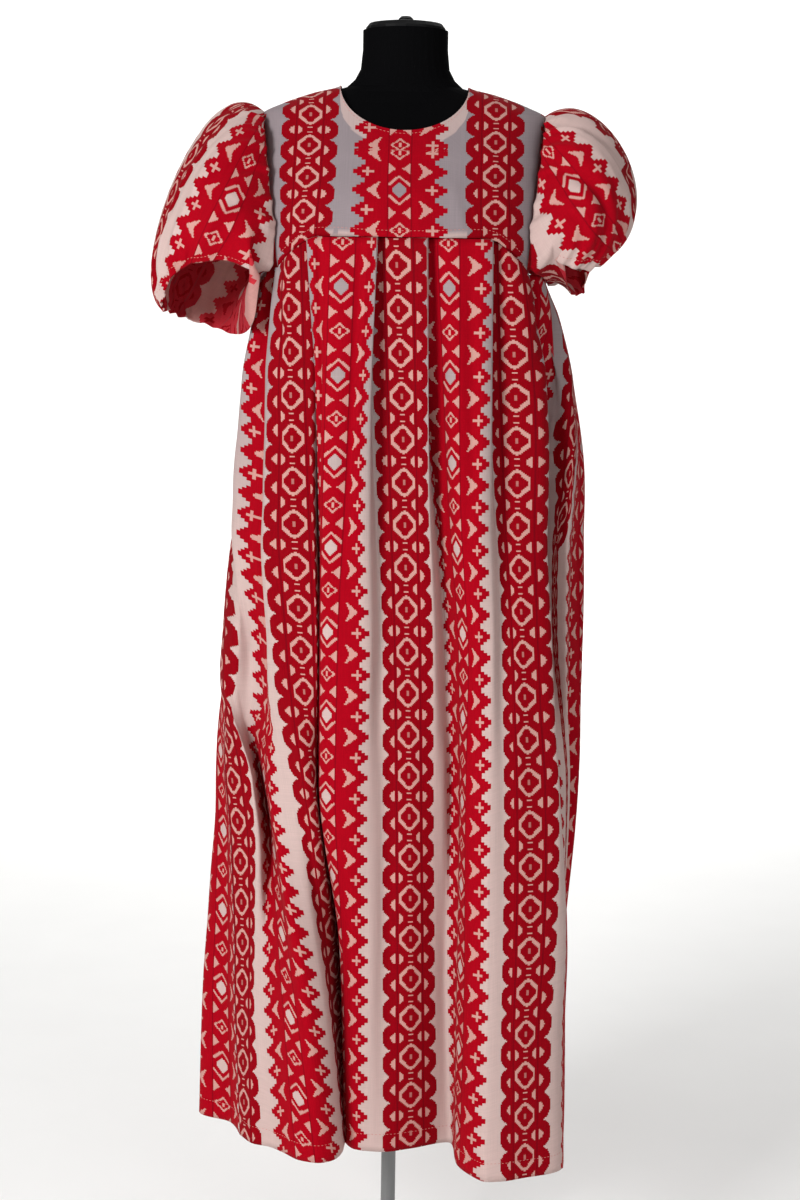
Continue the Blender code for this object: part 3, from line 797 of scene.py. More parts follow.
def skirt_front_grid(columns, rows, spread=True):
    """Outer face of the front skirt, row by row down from the yoke seam."""
    first, last = FRONT_AT_SEAM[0][0], FRONT_AT_SEAM[-1][0]
    places = np.linspace(first, last, columns + 1)
    shares = [share for share, _ in FRONT_LEVELS]
    levels = []
    for _, table in FRONT_LEVELS:
        table = np.array(table, float)
        levels.append(smooth_between(table[:, 0], table[:, 1:] * MM, places))
    levels = np.stack(levels)
    down = np.linspace(0, 1, rows + 1)
    plan = smooth_between(shares, levels.reshape(len(shares), -1), down)
    plan = plan.reshape(rows + 1, columns + 1, 2)
    if spread:
        side_spread(plan, down)
    top = skirt_top_height(plan[0]) - SEAM_DROP
    height = top[None, :] + (HEM - top)[None, :] * down[:, None]
    return np.concatenate([plan, height[:, :, None]], axis=2)


def skirt_top_height(plan):
    """Top edge under the yoke, then falling to the underarm beyond the yoke's corner."""
    corner = YOKE_SEAM - YOKE_CORNER_DROP
    under_yoke = yoke_seam_height(plan[:, 0])
    past = np.clip(1 - np.abs(plan[:, 1]) / UNDERARM_REACH, 0, 1)
    return under_yoke - (corner - UNDERARM) * past


def skirt_back_grid(columns, rows):
    """Outer face of the back skirt, between the same side seams as the front."""
    front = skirt_front_grid(CAD_SKIRT_COLUMNS, rows, spread=False)
    round_table = np.array(BACK_ROUNDS, float)
    folds = np.array(BACK_FOLDS, float)
    down = np.linspace(0, 1, rows + 1)
    share = np.linspace(0, 1, columns + 1)
    stand_off = smooth_between(folds[:, 0], folds[:, 1:] * MM, share)
    stand_off = smooth_between(BACK_FOLD_LEVELS, stand_off.T, down)
    grid = np.zeros((rows + 1, columns + 1, 3))
    for r, size in enumerate(smooth_between(round_table[:, 0], round_table[:, 1:], down)):
        left, right = front[r, 0, :2], front[r, -1, :2]
        widest_left, widest_right, depth = size * MM
        level = back_round(left, right, widest_left, widest_right, depth, share, stand_off[r])
        grid[r, :, :2] = level
        grid[r, :, 2] = np.interp(share, (0, 1), (front[r, 0, 2], front[r, -1, 2]))
    side_spread(grid, down)
    lift = yoke_seam_height(grid[0, :, 0]) - SEAM_DROP - grid[0, :, 2]
    lift = np.maximum(lift, 0) * np.clip(grid[0, :, 1] / UNDERARM_REACH, 0, 1)
    grid[:, :, 2] += lift[None, :] * (1 - down)[:, None]
    return grid


def back_round(left, right, widest_left, widest_right, depth, share, stand_off):
    """One level of the back: side seam, round behind at the given depth, other side seam."""
    turn = math.pi * np.linspace(0, 1, 181)
    centre = (widest_left + widest_right) / 2
    half = (widest_right - widest_left) / 2
    power = 2 / BACK_SQUARENESS
    x = centre - half * np.sign(np.cos(turn)) * np.abs(np.cos(turn)) ** power
    y = BACK_START + (depth - BACK_START) * np.abs(np.sin(turn)) ** power
    path = np.stack([x, y], axis=1)
    keep = (path[:, 1] > left[1]) | (x > centre)
    path = path[keep]
    path = np.concatenate([[left + (0, 2 * SEAM_GAP)], path[4:-4], [right + (0, 2 * SEAM_GAP)]])
    length = np.concatenate([[0], np.cumsum(np.linalg.norm(np.diff(path, axis=0), axis=1))])
    fine = smooth_between(length / length[-1], path, np.linspace(0, 1, LEVEL_POINTS))
    kernel = np.hanning(EVENED_OVER)
    kernel /= kernel.sum()
    ends = EVENED_OVER // 2
    before = 2 * fine[0] - fine[ends:0:-1]
    after = 2 * fine[-1] - fine[-2 : -2 - ends : -1]
    padded = np.concatenate([before, fine, after])
    fine = np.stack([np.convolve(padded[:, k], kernel, "valid") for k in (0, 1)], axis=1)
    along = np.gradient(fine, axis=0)
    outward = np.stack([-along[:, 1], along[:, 0]], axis=1)
    outward /= np.linalg.norm(outward, axis=1, keepdims=True)
    at = share * (len(fine) - 1)
    whole = np.arange(len(fine))
    base = np.stack([np.interp(at, whole, fine[:, k]) for k in (0, 1)], axis=1)
    away = np.stack([np.interp(at, whole, outward[:, k]) for k in (0, 1)], axis=1)
    return base + away * stand_off[:, None]


def armhole_point(side, turn):
    """Edge of the armhole: over the shoulder tip, down the yokes, and under the arm."""
    height_top = float(shoulder_height(SHOULDER_TIP))
    corner = YOKE_SEAM - YOKE_CORNER_DROP
    # around, half width, depth, height
    edge = (
        (0, 180.5, 0, height_top / MM),
        (45, 177, -52, 1575),
        (90, 169, -74, 1510),
        (125, 161, -86, 1440),
        (140, 162, -88, corner / MM + 5),
        (160, 182, -54, 1394),
        (180, 190, 4, 1389),
        (200, 184, 58, 1395),
        (220, 165, 91, corner / MM + 5),
        (235, 161, 88, 1440),
        (270, 169, 80, 1510),
        (315, 177, 56, 1575),
        (360, 180.5, 0, height_top / MM),
    )
    edge = np.array(edge, float)
    points = smooth_between(edge[:, 0], edge[:, 1:] * MM, turn)
    points[:, 0] *= side
    return points


def sleeve_grid(side, table, columns, rows):
    """Outer face of a sleeve: rows from armhole to hem, columns round it."""
    turn = np.linspace(0, 360, columns, endpoint=False)
    table = np.array(table, float)
    places = np.concatenate([table[-2:, 0] - 360, table[:, 0], table[:2, 0] + 360])
    values = np.concatenate([table[-2:, 1:], table[:, 1:], table[:2, 1:]]) * MM
    lines = smooth_between(places, values, turn)
    start = armhole_point(side, turn)
    start[:, 0] += side * SEAM_GAP / 2
    head, low, hem = lines[:, :3], lines[:, 3:6], lines[:, 6:]
    grid = []
    for v in np.linspace(0, 1, rows + 1):
        line = start * (1 - v) ** 3 + 3 * head * v * (1 - v) ** 2
        line += 3 * low * v**2 * (1 - v) + hem * v**3
        grid.append(line)
    grid = np.array(grid)
    calm = 1 - CALM_SHARE * np.exp(-(((turn - CALM_AT) / CALM_REACH) ** 2))
    wave = np.cos(np.radians(turn) * GATHERS_ROUND_SLEEVE) * calm
    v = np.linspace(0, 1, rows + 1)
    size = HEAD_GATHER * np.clip(v * 6, 0, 1) * (1 - v) + HEM_GATHER * v**3
    normal = grid_normals(grid, wraps=True)
    inward = normal[rows // 2, 0, 0] * side < 0
    return grid + (-1 if inward else 1) * normal * (size[:, None] * wave[None, :])[:, :, None]


# Cloth shells


def joined(parts):
    """The rows of several arrays, one after another."""
    return np.concatenate(parts, axis=0)


def shell(name, outer, cut, outward, right_side, wrong_side_painted_lighter, wraps=False, behind=None):
    """A thin closed wall of cloth, whose UV map is each point's place in the weave.

    cut holds those places for every grid point, with one more column where the cloth wraps.
    behind says how plainly the dark form shows through each point.
    """
    rows, columns = outer.shape[:2]
    inner = outer - outward_normals(outer, outward, wraps) * WALL
    size = rows * columns
    index = np.arange(size).reshape(rows, columns)
    if wraps:
        index = np.concatenate([index, index[:, :1]], axis=1)
    place = np.arange(cut.shape[0] * cut.shape[1]).reshape(cut.shape[:2])

    def quads(grid):
        corners = (grid[:-1, :-1], grid[:-1, 1:], grid[1:, 1:], grid[1:, :-1])
        return np.stack(corners, axis=-1).reshape(-1, 4)

    def rim(line, places):
        a, b = line[:-1], line[1:]
        pa, pb = places[:-1], places[1:]
        return np.stack([a, a + size, b + size, b], 1), np.stack([pa, pa, pb, pb], 1)

    face, flat = quads(index), quads(place)
    rims = [rim(index[0], place[0]), rim(index[-1][::-1], place[-1][::-1])]
    if not wraps:
        rims.append(rim(index[::-1, 0], place[::-1, 0]))
        rims.append(rim(index[:, -1], place[:, -1]))
    faces = joined([face, face[:, ::-1] + size] + [edge for edge, _ in rims])
    flats = joined([flat, flat[:, ::-1]] + [places for _, places in rims])
    a, b, c = (outer.reshape(-1, 3)[face[len(face) // 2, k]] for k in (0, 1, 3))
    if float(np.dot(np.cross(b - a, c - a), outward)) < 0:
        faces, flats = faces[:, ::-1], flats[:, ::-1]
    mesh = bpy.data.meshes.new(name)
    mesh.from_pydata(joined([outer.reshape(-1, 3), inner.reshape(-1, 3)]).tolist(), [], faces.tolist())
    layer = mesh.uv_layers.new(name="Cut")
    layer.data.foreach_set("uv", cut.reshape(-1, 2)[flats.reshape(-1)].ravel())
    shown = np.zeros(size) if behind is None else behind.reshape(-1)
    attribute = mesh.attributes.new("behind", "FLOAT", "POINT")
    attribute.data.foreach_set("value", np.concatenate([shown, shown]))
    mesh.materials.append(right_side)
    mesh.materials.append(wrong_side_painted_lighter)
    inside = np.zeros(len(faces), int)
    inside[len(face) : 2 * len(face)] = 1
    mesh.polygons.foreach_set("material_index", inside)
    mesh.polygons.foreach_set("use_smooth", np.ones(len(faces), bool))
    mesh.update()
    thing = bpy.data.objects.new(name, mesh)
    bpy.context.scene.collection.objects.link(thing)
    return thing


def down_cloth(grid):
    """Length along the cloth from its top edge, for every grid point."""
    step = np.linalg.norm(np.diff(grid, axis=0), axis=2)
    return np.concatenate([np.zeros((1, grid.shape[1])), np.cumsum(step, axis=0)], axis=0)


def creased(grid, places, table, outward, wraps=False):
    """Adds soft ridges and troughs, each along a line between two places on the cloth, in mm."""
    height = np.zeros(grid.shape[:2])
    for across_a, down_a, across_b, down_b, width, rise in table:
        start = np.array((across_a, down_a), float)
        line = np.array((across_b, down_b), float) - start
        length = np.linalg.norm(line)
        away = places - start
        along = (away @ line) / length**2
        off = (away[..., 0] * line[1] - away[..., 1] * line[0]) / length
        fade = np.clip(along * (1 - along) * 4, 0, 1) ** 0.6
        height += rise * fade * np.exp(-((off / width) ** 2))
    return grid + outward_normals(grid, outward, wraps) * height[..., None] * MM


# Stitching


def stitch_tree(thread):
    """Geometry nodes that lay even stitches along every line of a mesh."""
    tree = bpy.data.node_groups.new("row of stitches", "GeometryNodeTree")
    face = tree.interface
    face.new_socket("Geometry", in_out="INPUT", socket_type="NodeSocketGeometry")
    for name in ("Stitch length", "Gap", "Thread"):
        face.new_socket(name, in_out="INPUT", socket_type="NodeSocketFloat")
    face.new_socket("Geometry", in_out="OUTPUT", socket_type="NodeSocketGeometry")
    kinds = {
        "given": "NodeGroupInput",
        "curve": "GeometryNodeMeshToCurve",
        "spacing": "ShaderNodeMath",
        "points": "GeometryNodeCurveToPoints",
        "stitch": "GeometryNodeMeshIcoSphere",
        "size": "ShaderNodeCombineXYZ",
        "laid": "GeometryNodeInstanceOnPoints",
        "real": "GeometryNodeRealizeInstances",
        "coloured": "GeometryNodeSetMaterial",
        "result": "NodeGroupOutput",
    }
    node = {name: tree.nodes.new(kind) for name, kind in kinds.items()}
    node["points"].mode = "LENGTH"
    node["stitch"].inputs["Radius"].default_value = 0.5
    node["stitch"].inputs["Subdivisions"].default_value = 1
    node["coloured"].inputs["Material"].default_value = thread
    links = (
        ("given", "Geometry", "curve", "Mesh"),
        ("given", "Stitch length", "spacing", 0),
        ("given", "Gap", "spacing", 1),
        ("curve", "Curve", "points", "Curve"),
        ("spacing", 0, "points", "Length"),
        ("given", "Thread", "size", 0),
        ("given", "Thread", "size", 1),
        ("given", "Stitch length", "size", 2),
        ("points", "Points", "laid", "Points"),
        ("points", "Rotation", "laid", "Rotation"),
        ("size", 0, "laid", "Scale"),
        ("stitch", "Mesh", "laid", "Instance"),
        ("laid", "Instances", "real", "Geometry"),
        ("real", "Geometry", "coloured", "Geometry"),
        ("coloured", "Geometry", "result", "Geometry"),
    )
    for source, output, target, place in links:
        tree.links.new(node[source].outputs[output], node[target].inputs[place])
    return tree


def stitched(name, lines, tree):
    """One object with a row of stitches along each line of points."""
    edges = []
    first = 0
    for line in lines:
        edges += [(k, k + 1) for k in range(first, first + len(line) - 1)]
        first += len(line)
    path = bpy.data.meshes.new(name + "_path")
    path.from_pydata(joined(lines).tolist(), edges, [])
    guide = bpy.data.objects.new(name + "_path", path)
    bpy.context.scene.collection.objects.link(guide)
    modifier = guide.modifiers.new("stitches", "NODES")
    sizes = {"Stitch length": 3.2 * MM, "Gap": 1.8 * MM, "Thread": 0.7 * MM}
    modifier.node_group = tree
    for item in tree.interface.items_tree:
        if item.name in sizes:
            modifier[item.identifier] = sizes[item.name]
    guide.update_tag()
    seen = guide.evaluated_get(bpy.context.evaluated_depsgraph_get())
    mesh = bpy.data.meshes.new_from_object(seen)
    mesh.name = name
    bpy.data.objects.remove(guide)
    mesh.shade_smooth()
    thing = bpy.data.objects.new(name, mesh)
    bpy.context.scene.collection.objects.link(thing)
    return thing


def seam_line(grid, row, outward, columns=slice(None), wraps=False):
    """Points along a row of the cloth, or a row for each column, lifted just clear of its face."""
    line = grid + outward_normals(grid, outward, wraps) * STITCH_LIFT
    whole = np.arange(grid.shape[0])
    rows = np.broadcast_to(row, grid.shape[1])
    points = [[np.interp(at, whole, line[:, c, k]) for k in range(3)] for c, at in enumerate(rows)]
    points = np.array(points)[columns]
    return joined([points, points[:1]]) if wraps else points


# Materials


class Wire:
    """A number inside a material's nodes, so that a pattern can be written as a formula."""

    def __init__(self, tree, source):
        self.tree = tree
        self.source = source

    def made(self, operation, *others):
        step = self.tree.nodes.new("ShaderNodeMath")
        step.operation = operation
        for place, value in enumerate((self,) + others):
            if isinstance(value, Wire):
                self.tree.links.new(value.source, step.inputs[place])
            else:
                step.inputs[place].default_value = value
        return Wire(self.tree, step.outputs[0])

    def __add__(self, other):
        return self.made("ADD", other)

    def __sub__(self, other):
        return self.made("SUBTRACT", other)

    def __mul__(self, other):
        return self.made("MULTIPLY", other)

    def __and__(self, other):
        return self.made("MINIMUM", other)

    def __or__(self, other):
        return self.made("MAXIMUM", other)

    def __lt__(self, other):
        return self.made("LESS_THAN", other)

    def __gt__(self, other):
        return self.made("GREATER_THAN", other)

    def size(self):
        return self.made("ABSOLUTE")

    def from_row(self, half_period):
        """Distance to the nearest of the rows that lie two half periods apart."""
        return self.made("PINGPONG", half_period)

    def within(self, low, high):
        return (self > low) & (self < high)

    def without(self, other):
        return (self - other) | 0.0


def banded(across, down):
    """Formulas of the two woven bands: where the red yarn shows, and where the light motifs do.

    The narrow band has stepped rings with rows of dashes between them and rounded lobes along
    its edges. The wide band has diamonds and arrow pairs down its middle, crosses and arrowheads
    on both sides, and an edge of pointed leaves. All measures are millimetres on the cloth.
    """
    u = ((across * (1 / CELL_ACROSS)).made("FLOOR") + 0.5) * CELL_ACROSS
    v = ((down * (1 / CELL_DOWN)).made("FLOOR") + 0.5) * CELL_DOWN
    fine_v = ((down * (2 / CELL_DOWN)).made("FLOOR") + 0.5) * (CELL_DOWN / 2)
    fine_u = ((across * (2 / CELL_ACROSS)).made("FLOOR") + 0.5) * (CELL_ACROSS / 2)
    narrow = u.from_row(BAND_SPACING)
    narrow_fine = fine_u.from_row(BAND_SPACING)
    wide = (narrow * -1) + BAND_SPACING
    wide_fine = (narrow_fine * -1) + BAND_SPACING
    row = fine_v.from_row(PITCH / 2)
    half_row = (row * -1) + PITCH / 2
    lobe = fine_v.from_row(LOBE / 2)
    big_row = fine_v.from_row(PITCH)
    small_row = (big_row * -1) + PITCH
    leaf = v.from_row(PITCH / 4)
    right = (u.made("WRAP", 2 * BAND_SPACING, 0.0)) > BAND_SPACING
    cross_row = row + (half_row - row) * ((right * -1) + 1)
    arrow_row = (cross_row * -1) + PITCH / 2

    narrow_red = narrow_fine < ((lobe * lobe * lobe) * -0.00172 + 36.8)
    upright = narrow_fine * 1.16
    outer = (upright | half_row) | ((upright + half_row) * (16.9 / 23.0))
    inner = (upright | half_row) | ((upright + half_row) * (12.2 / 15.2))
    ring = (outer < 16.5) & (inner > 12.9)
    dot = (narrow_fine < 1.2) & (half_row < 2.8)
    dashes = (narrow_fine < 3.0) & (row - 4.2).size().made("LESS_THAN", 1.0)
    tips = (narrow_fine < 1.7) & (row - 9.6).size().made("LESS_THAN", 1.0)
    lens = (narrow_fine < 14.4) & ((narrow_fine + (row * row) * -0.1) > 9.6) & (row < 7.0)
    moon = (narrow_fine > 20.8) & ((narrow_fine + (lobe * lobe) * 0.1) < 26.0)
    narrow_light = ring | dot * 0.5 | dashes | tips | lens | moon
    narrow_dark = narrow_fine.within(16.4, 18.2)

    large = wide_fine + big_row
    small = wide_fine + small_row * 1.2
    filled = (large < 10.4) & (wide_fine < 9.0)
    wide_red = (wide_fine < (leaf * -1.45 + WIDE_EDGE)).without(filled)
    chevron = large.within(18.4, 22.0) & (wide_fine < 12.6) & (big_row > 4.0)
    small_ring = small.within(9.0, 12.4)
    small_dot = (wide_fine < 1.7) & (small_row < 2.6)
    from_pair = (big_row - 31.4).size()
    pair = (from_pair < ((wide_fine - 4.0) * 0.9)) & wide_fine.within(4.0, 13.4)
    cross = ((wide_fine - 39.8).size().made("LESS_THAN", 7.6) & (cross_row < 1.75)) | (
        (wide_fine - 39.8).size().made("LESS_THAN", 1.75) & (cross_row < 7.2)
    )
    outside_notch = (wide_fine + arrow_row * 0.55) > 29.5
    arrow = ((wide_fine + arrow_row * 1.3) < 41.0) & outside_notch & (arrow_row < 11.4)
    wide_light = chevron | small_ring | small_dot | pair | cross | arrow
    wide_dark = wide_fine.within(13.6, 15.4)

    red = narrow_red | wide_red
    light = (narrow_light & narrow_red) | (wide_light & wide_red)
    dark = ((narrow_dark & narrow_red) | (wide_dark & wide_red)).without(light)
    return red, light, dark, wide_red


def material_with_shader(name):
    """A new material, with its node tree and its main shader."""
    material = bpy.data.materials.new(name)
    material.use_nodes = True
    tree = material.node_tree
    return material, tree, tree.nodes["Principled BSDF"]


def mixed(tree, factor, first, second, blend="MIX"):
    """Mix of two colours by a wire. A colour is a tuple or a socket."""
    step = tree.nodes.new("ShaderNodeMix")
    step.data_type = "RGBA"
    step.blend_type = blend
    if isinstance(factor, Wire):
        tree.links.new(factor.source, step.inputs[0])
    else:
        step.inputs[0].default_value = factor
    for socket, colour in ((step.inputs[6], first), (step.inputs[7], second)):
        if isinstance(colour, tuple):
            socket.default_value = colour
        else:
            tree.links.new(colour, socket)
    return step.outputs[2]


def noise(tree, across, down, across_scale, down_scale, detail=2.0):
    """Soft uneven value from 0 to 1, with its own scale each way along the cloth."""
    combine = tree.nodes.new("ShaderNodeCombineXYZ")
    tree.links.new((across * across_scale).source, combine.inputs[0])
    tree.links.new((down * down_scale).source, combine.inputs[1])
    texture = tree.nodes.new("ShaderNodeTexNoise")
    texture.inputs["Scale"].default_value = 1.0
    texture.inputs["Detail"].default_value = detail
    tree.links.new(combine.outputs[0], texture.inputs["Vector"])
    return Wire(tree, texture.outputs[0])


def woven_cloth(name, looks):
    """Jacquard cotton: bands by formula, thread streaks, ribs of the weave and raised figures."""
    material, tree, shader = material_with_shader(name)
    cut = tree.nodes.new("ShaderNodeUVMap")
    cut.uv_map = "Cut"
    parts = tree.nodes.new("ShaderNodeSeparateXYZ")
    tree.links.new(cut.outputs[0], parts.inputs[0])
    across = Wire(tree, parts.outputs[0]) * 1000.0
    down = Wire(tree, parts.outputs[1]) * 1000.0
    red, light, dark, wide = banded(across, down)
    attribute = tree.nodes.new("ShaderNodeAttribute")
    attribute.attribute_name = "behind"
    behind = Wire(tree, attribute.outputs["Fac"])

    ground = mixed(tree, behind, looks["ground"], looks["ground_over_form"])
    tone = noise(tree, across, down, 0.9, 0.02) * 0.45 + wide * 0.45
    red_tone = mixed(tree, tone, looks["red_deep"], looks["red_bright"])
    warp = noise(tree, across, down, 1.6, 0.015)
    weft = noise(tree, across, down, 0.02, 1.3)
    colour = mixed(tree, red, ground, red_tone)
    colour = mixed(tree, light, colour, looks["motif"])
    colour = mixed(tree, dark * 0.5, colour, looks["line"])
    threads = (warp + weft) * 0.5
    shade = threads * 0.5 + 0.75
    grey = tree.nodes.new("ShaderNodeCombineColor")
    for socket in grey.inputs[:3]:
        tree.links.new(shade.source, socket)
    colour = mixed(tree, 1.0, colour, grey.outputs[0], "MULTIPLY")
    tree.links.new(colour, shader.inputs["Base Color"])
    shader.inputs["Roughness"].default_value = 0.82
    shader.inputs["Specular IOR Level"].default_value = 0.05
    shader.inputs["Sheen Weight"].default_value = 0.02
    shader.inputs["Sheen Roughness"].default_value = 0.5

    weft_ribs = (down * (2 * math.pi / WEFT_SPACING)).made("SINE")
    warp_ribs = (across * (2 * math.pi / WARP_SPACING)).made("SINE")
    ribs = weft_ribs * 0.5 + warp_ribs * 0.5
    relief = ribs * 0.05 + red * 0.3 + light * 0.1 + threads * 0.25
    bump = tree.nodes.new("ShaderNodeBump")
    bump.inputs["Distance"].default_value = 0.6 * MM
    bump.inputs["Strength"].default_value = 0.6
    tree.links.new(relief.source, bump.inputs["Height"])
    tree.links.new(bump.outputs[0], shader.inputs["Normal"])
    through = tree.nodes.new("ShaderNodeBsdfTranslucent")
    tree.links.new(colour, through.inputs["Color"])
    blend = tree.nodes.new("ShaderNodeMixShader")
    blend.inputs[0].default_value = looks["translucence"]
    tree.links.new(shader.outputs[0], blend.inputs[1])
    tree.links.new(through.outputs[0], blend.inputs[2])
    tree.links.new(blend.outputs[0], tree.nodes["Material Output"].inputs["Surface"])
    return material


def rough_material(
    name, dark, bright, scale, roughness, metallic=0.0, relief=0.2, stretch=(1, 1, 1), specular=0.5
):
    """A surface of two close tones with fine relief, on the object's own coordinates."""
    material, tree, shader = material_with_shader(name)
    place = tree.nodes.new("ShaderNodeTexCoord")
    mapping = tree.nodes.new("ShaderNodeMapping")
    mapping.inputs["Scale"].default_value = stretch
    tree.links.new(place.outputs["Object"], mapping.inputs["Vector"])
    grain = tree.nodes.new("ShaderNodeTexNoise")
    grain.inputs["Scale"].default_value = scale
    grain.inputs["Detail"].default_value = 4.0
    tree.links.new(mapping.outputs[0], grain.inputs["Vector"])
    value = Wire(tree, grain.outputs[0])
    tree.links.new(mixed(tree, value, dark, bright), shader.inputs["Base Color"])
    tree.links.new((value * 0.16 + (roughness - 0.08)).source, shader.inputs["Roughness"])
    shader.inputs["Metallic"].default_value = metallic
    shader.inputs["Specular IOR Level"].default_value = specular
    bump = tree.nodes.new("ShaderNodeBump")
    bump.inputs["Distance"].default_value = 0.4 * MM
    bump.inputs["Strength"].default_value = relief
    tree.links.new(value.source, bump.inputs["Height"])
    tree.links.new(bump.outputs[0], shader.inputs["Normal"])
    return material


# Making the cloth


def front_yoke_cut(grid, up):
    """Place of each point of the front yoke in the weave, in millimetres.

    The cloth is cut so that a wide band runs down the middle. Its figures start anew at the
    facing of the neck, and the narrow bands at both sides have their own, closer rows.
    """
    x, z = grid[:, :, 0] / MM, grid[:, :, 2] / MM
    table = np.array(YOKE_BANDS, float)
    left, middle, right = (np.interp(z, table[:, 0], table[:, k]) for k in (1, 2, 3))
    across = np.where(x < middle, (x - left) / (middle - left), 1 + (x - middle) / (right - middle))
    across = across * BAND_SPACING
    closer = 1 + LEFT_CLOSER * np.clip((LEFT_CLOSER_FROM - z) / LEFT_CLOSER_OVER, 0, 1)
    across = np.where(x < left, (x - left) * closer, across)
    across = np.where(x > right, 2 * BAND_SPACING + x - right, across)
    centre = (MIDDLE_DIAMOND - up) * MIDDLE_CLOSENESS + np.where(up > FACING_FIGURES, FACING_STEP, 0)
    at_left, at_right = (
        PITCH / 2 + (ring - up) * PITCH / spacing for ring, spacing in (LEFT_RINGS, RIGHT_RINGS)
    )
    from_middle = across - BAND_SPACING
    to_left = np.clip((-from_middle - WIDE_EDGE) / BAND_GAP, 0, 1)
    to_right = np.clip((from_middle - WIDE_EDGE) / BAND_GAP, 0, 1)
    down = centre + (at_left - centre) * to_left + (at_right - centre) * to_right
    return across, down


def make_yoke_cloth(name, front, neck_drop, materials):
    """One yoke, and the points along its neck and its pleat seam where it is stitched."""
    grid = yoke_grid(front, neck_drop, YOKE_SHOULDER_STEPS, YOKE_NECK_STEPS, YOKE_ROWS)
    up = down_cloth(grid[::-1])[::-1] / MM
    up += (grid[-1:, :, 2] - YOKE_SEAM) / MM
    if front:
        across, down = front_yoke_cut(grid, up)
    else:
        across, down = grid[:, :, 0] / MM + BAND_SPACING, -up
    cut = np.stack([across * MM, down * MM], axis=2)
    edge = np.linalg.norm(grid - grid[:1], axis=2)
    neck_columns = np.abs(grid[:1, :, 0]) < NECK_POINT + 2 * MM
    facing = neck_columns & (edge < NECK_FACING)
    allowance = grid[:, :, 2] < grid[-1:, :, 2] + SEAM_ALLOWANCE
    behind = np.where(facing | allowance, TWO_LAYERS_SHOW, 1.0)
    outward = (0, -1 if front else 1, 0)
    places = np.stack([grid[:, :, 0] / MM, up], axis=2)
    grid = creased(grid, places, YOKE_CREASES[name], outward)
    thing = shell(name, grid, cut, outward, *materials, behind=behind)
    neck = np.flatnonzero(neck_columns[0])
    depth = np.linalg.norm(grid - grid[:1], axis=2)
    whole = np.arange(YOKE_ROWS + 1)
    neck_row = [np.interp(NECK_STITCHES, depth[:, c], whole) for c in range(grid.shape[1])]
    lines = [
        seam_line(grid, neck_row, outward, neck),
        seam_line(grid, YOKE_ROWS - PLEAT_STITCHES, outward),
    ]
    return thing, lines


def with_allowance(grid, front):
    """Adds the skirt's seam allowance, which turns in under the yoke's lower edge."""
    top = grid[:1].copy()
    under = cloth_depth(top[:, :, 0], YOKE_SEAM, front)
    if front:
        tucked = np.maximum(top[:, :, 1] + ALLOWANCE_STEP, under + TURNED_IN)
    else:
        tucked = np.minimum(top[:, :, 1] - ALLOWANCE_STEP, under - TURNED_IN)
    below_yoke = (np.abs(top[:, :, 0]) < YOKE_CORNER) & (np.abs(top[:, :, 1]) > 60 * MM)
    top[:, :, 1] = np.where(below_yoke, tucked, top[:, :, 1])
    return np.concatenate([top, grid])


def make_skirt_cloth(name, front, materials):
    """One width of the skirt, and the points along its hem where it is stitched."""
    if front:
        grid = skirt_front_grid(SKIRT_COLUMNS, SKIRT_ROWS)
    else:
        grid = skirt_back_grid(BACK_COLUMNS, SKIRT_ROWS)
    first, last = FRONT_AT_SEAM[0][0] * MM, FRONT_AT_SEAM[-1][0] * MM
    folded = np.linspace(first, last, grid.shape[1])
    cut = np.zeros(grid.shape[:2] + (2,))
    held_in = np.array(HELD_IN, float) * MM
    gathered = np.interp(folded, held_in[:, 0], held_in[:, 1]) if front else folded
    fullness = 1.0 if front else BACK_WIDTH
    let_out = np.clip((YOKE_SEAM - grid[:, :, 2] - HELD_DOWN) / LET_OUT_OVER, 0, 1)
    cut[:, :, 0] = (gathered + (folded - gathered) * let_out) * fullness
    cut[:, :, 1] = down_cloth(grid) + (YOKE_SEAM - grid[0, :, 2])[None, :] - FIRST_DIAMOND
    over = np.clip((grid[:, :, 2] - FORM_SHOWS_FROM) / FORM_SHOWS_OVER, 0, 1) * FORM_SHOWS
    outward = (0, -1 if front else 1, 0)
    places = cut / MM / (fullness, 1) + (0, FIRST_DIAMOND / MM)
    if front:
        cut[:, :, 0] -= sum(swallowed(grid, folded, fold) for fold in SIDE_FOLDS)
    grid = creased(grid, places, SKIRT_CREASES[name], outward)
    grid = with_allowance(grid, front)
    cut = np.concatenate([cut[:1] - (0, TURNED_LENGTH), cut])
    over = np.concatenate([over[:1], over])
    thing = shell(name, grid, cut, outward, *materials, behind=over)
    hem_row = 1 + SKIRT_ROWS * (1 - HEM_DEPTH / (YOKE_SEAM - HEM))
    return thing, [seam_line(grid, hem_row, outward)]


def swallowed(grid, places, fold):
    """How far the cut runs ahead at each point, because a deep fold swallows cloth."""
    table = np.array(fold[1:], float) * MM
    hidden = smooth_between(table[:, 0], table[:, 1:], grid[:, :, 2].ravel())
    columns = fold[0][1:]
    hidden = hidden.reshape(grid.shape[0], grid.shape[1], len(columns))
    weights = [np.interp(places / MM, columns, share) for share in np.eye(len(columns))]
    return sum(hidden[:, :, k] * weight for k, weight in enumerate(weights))


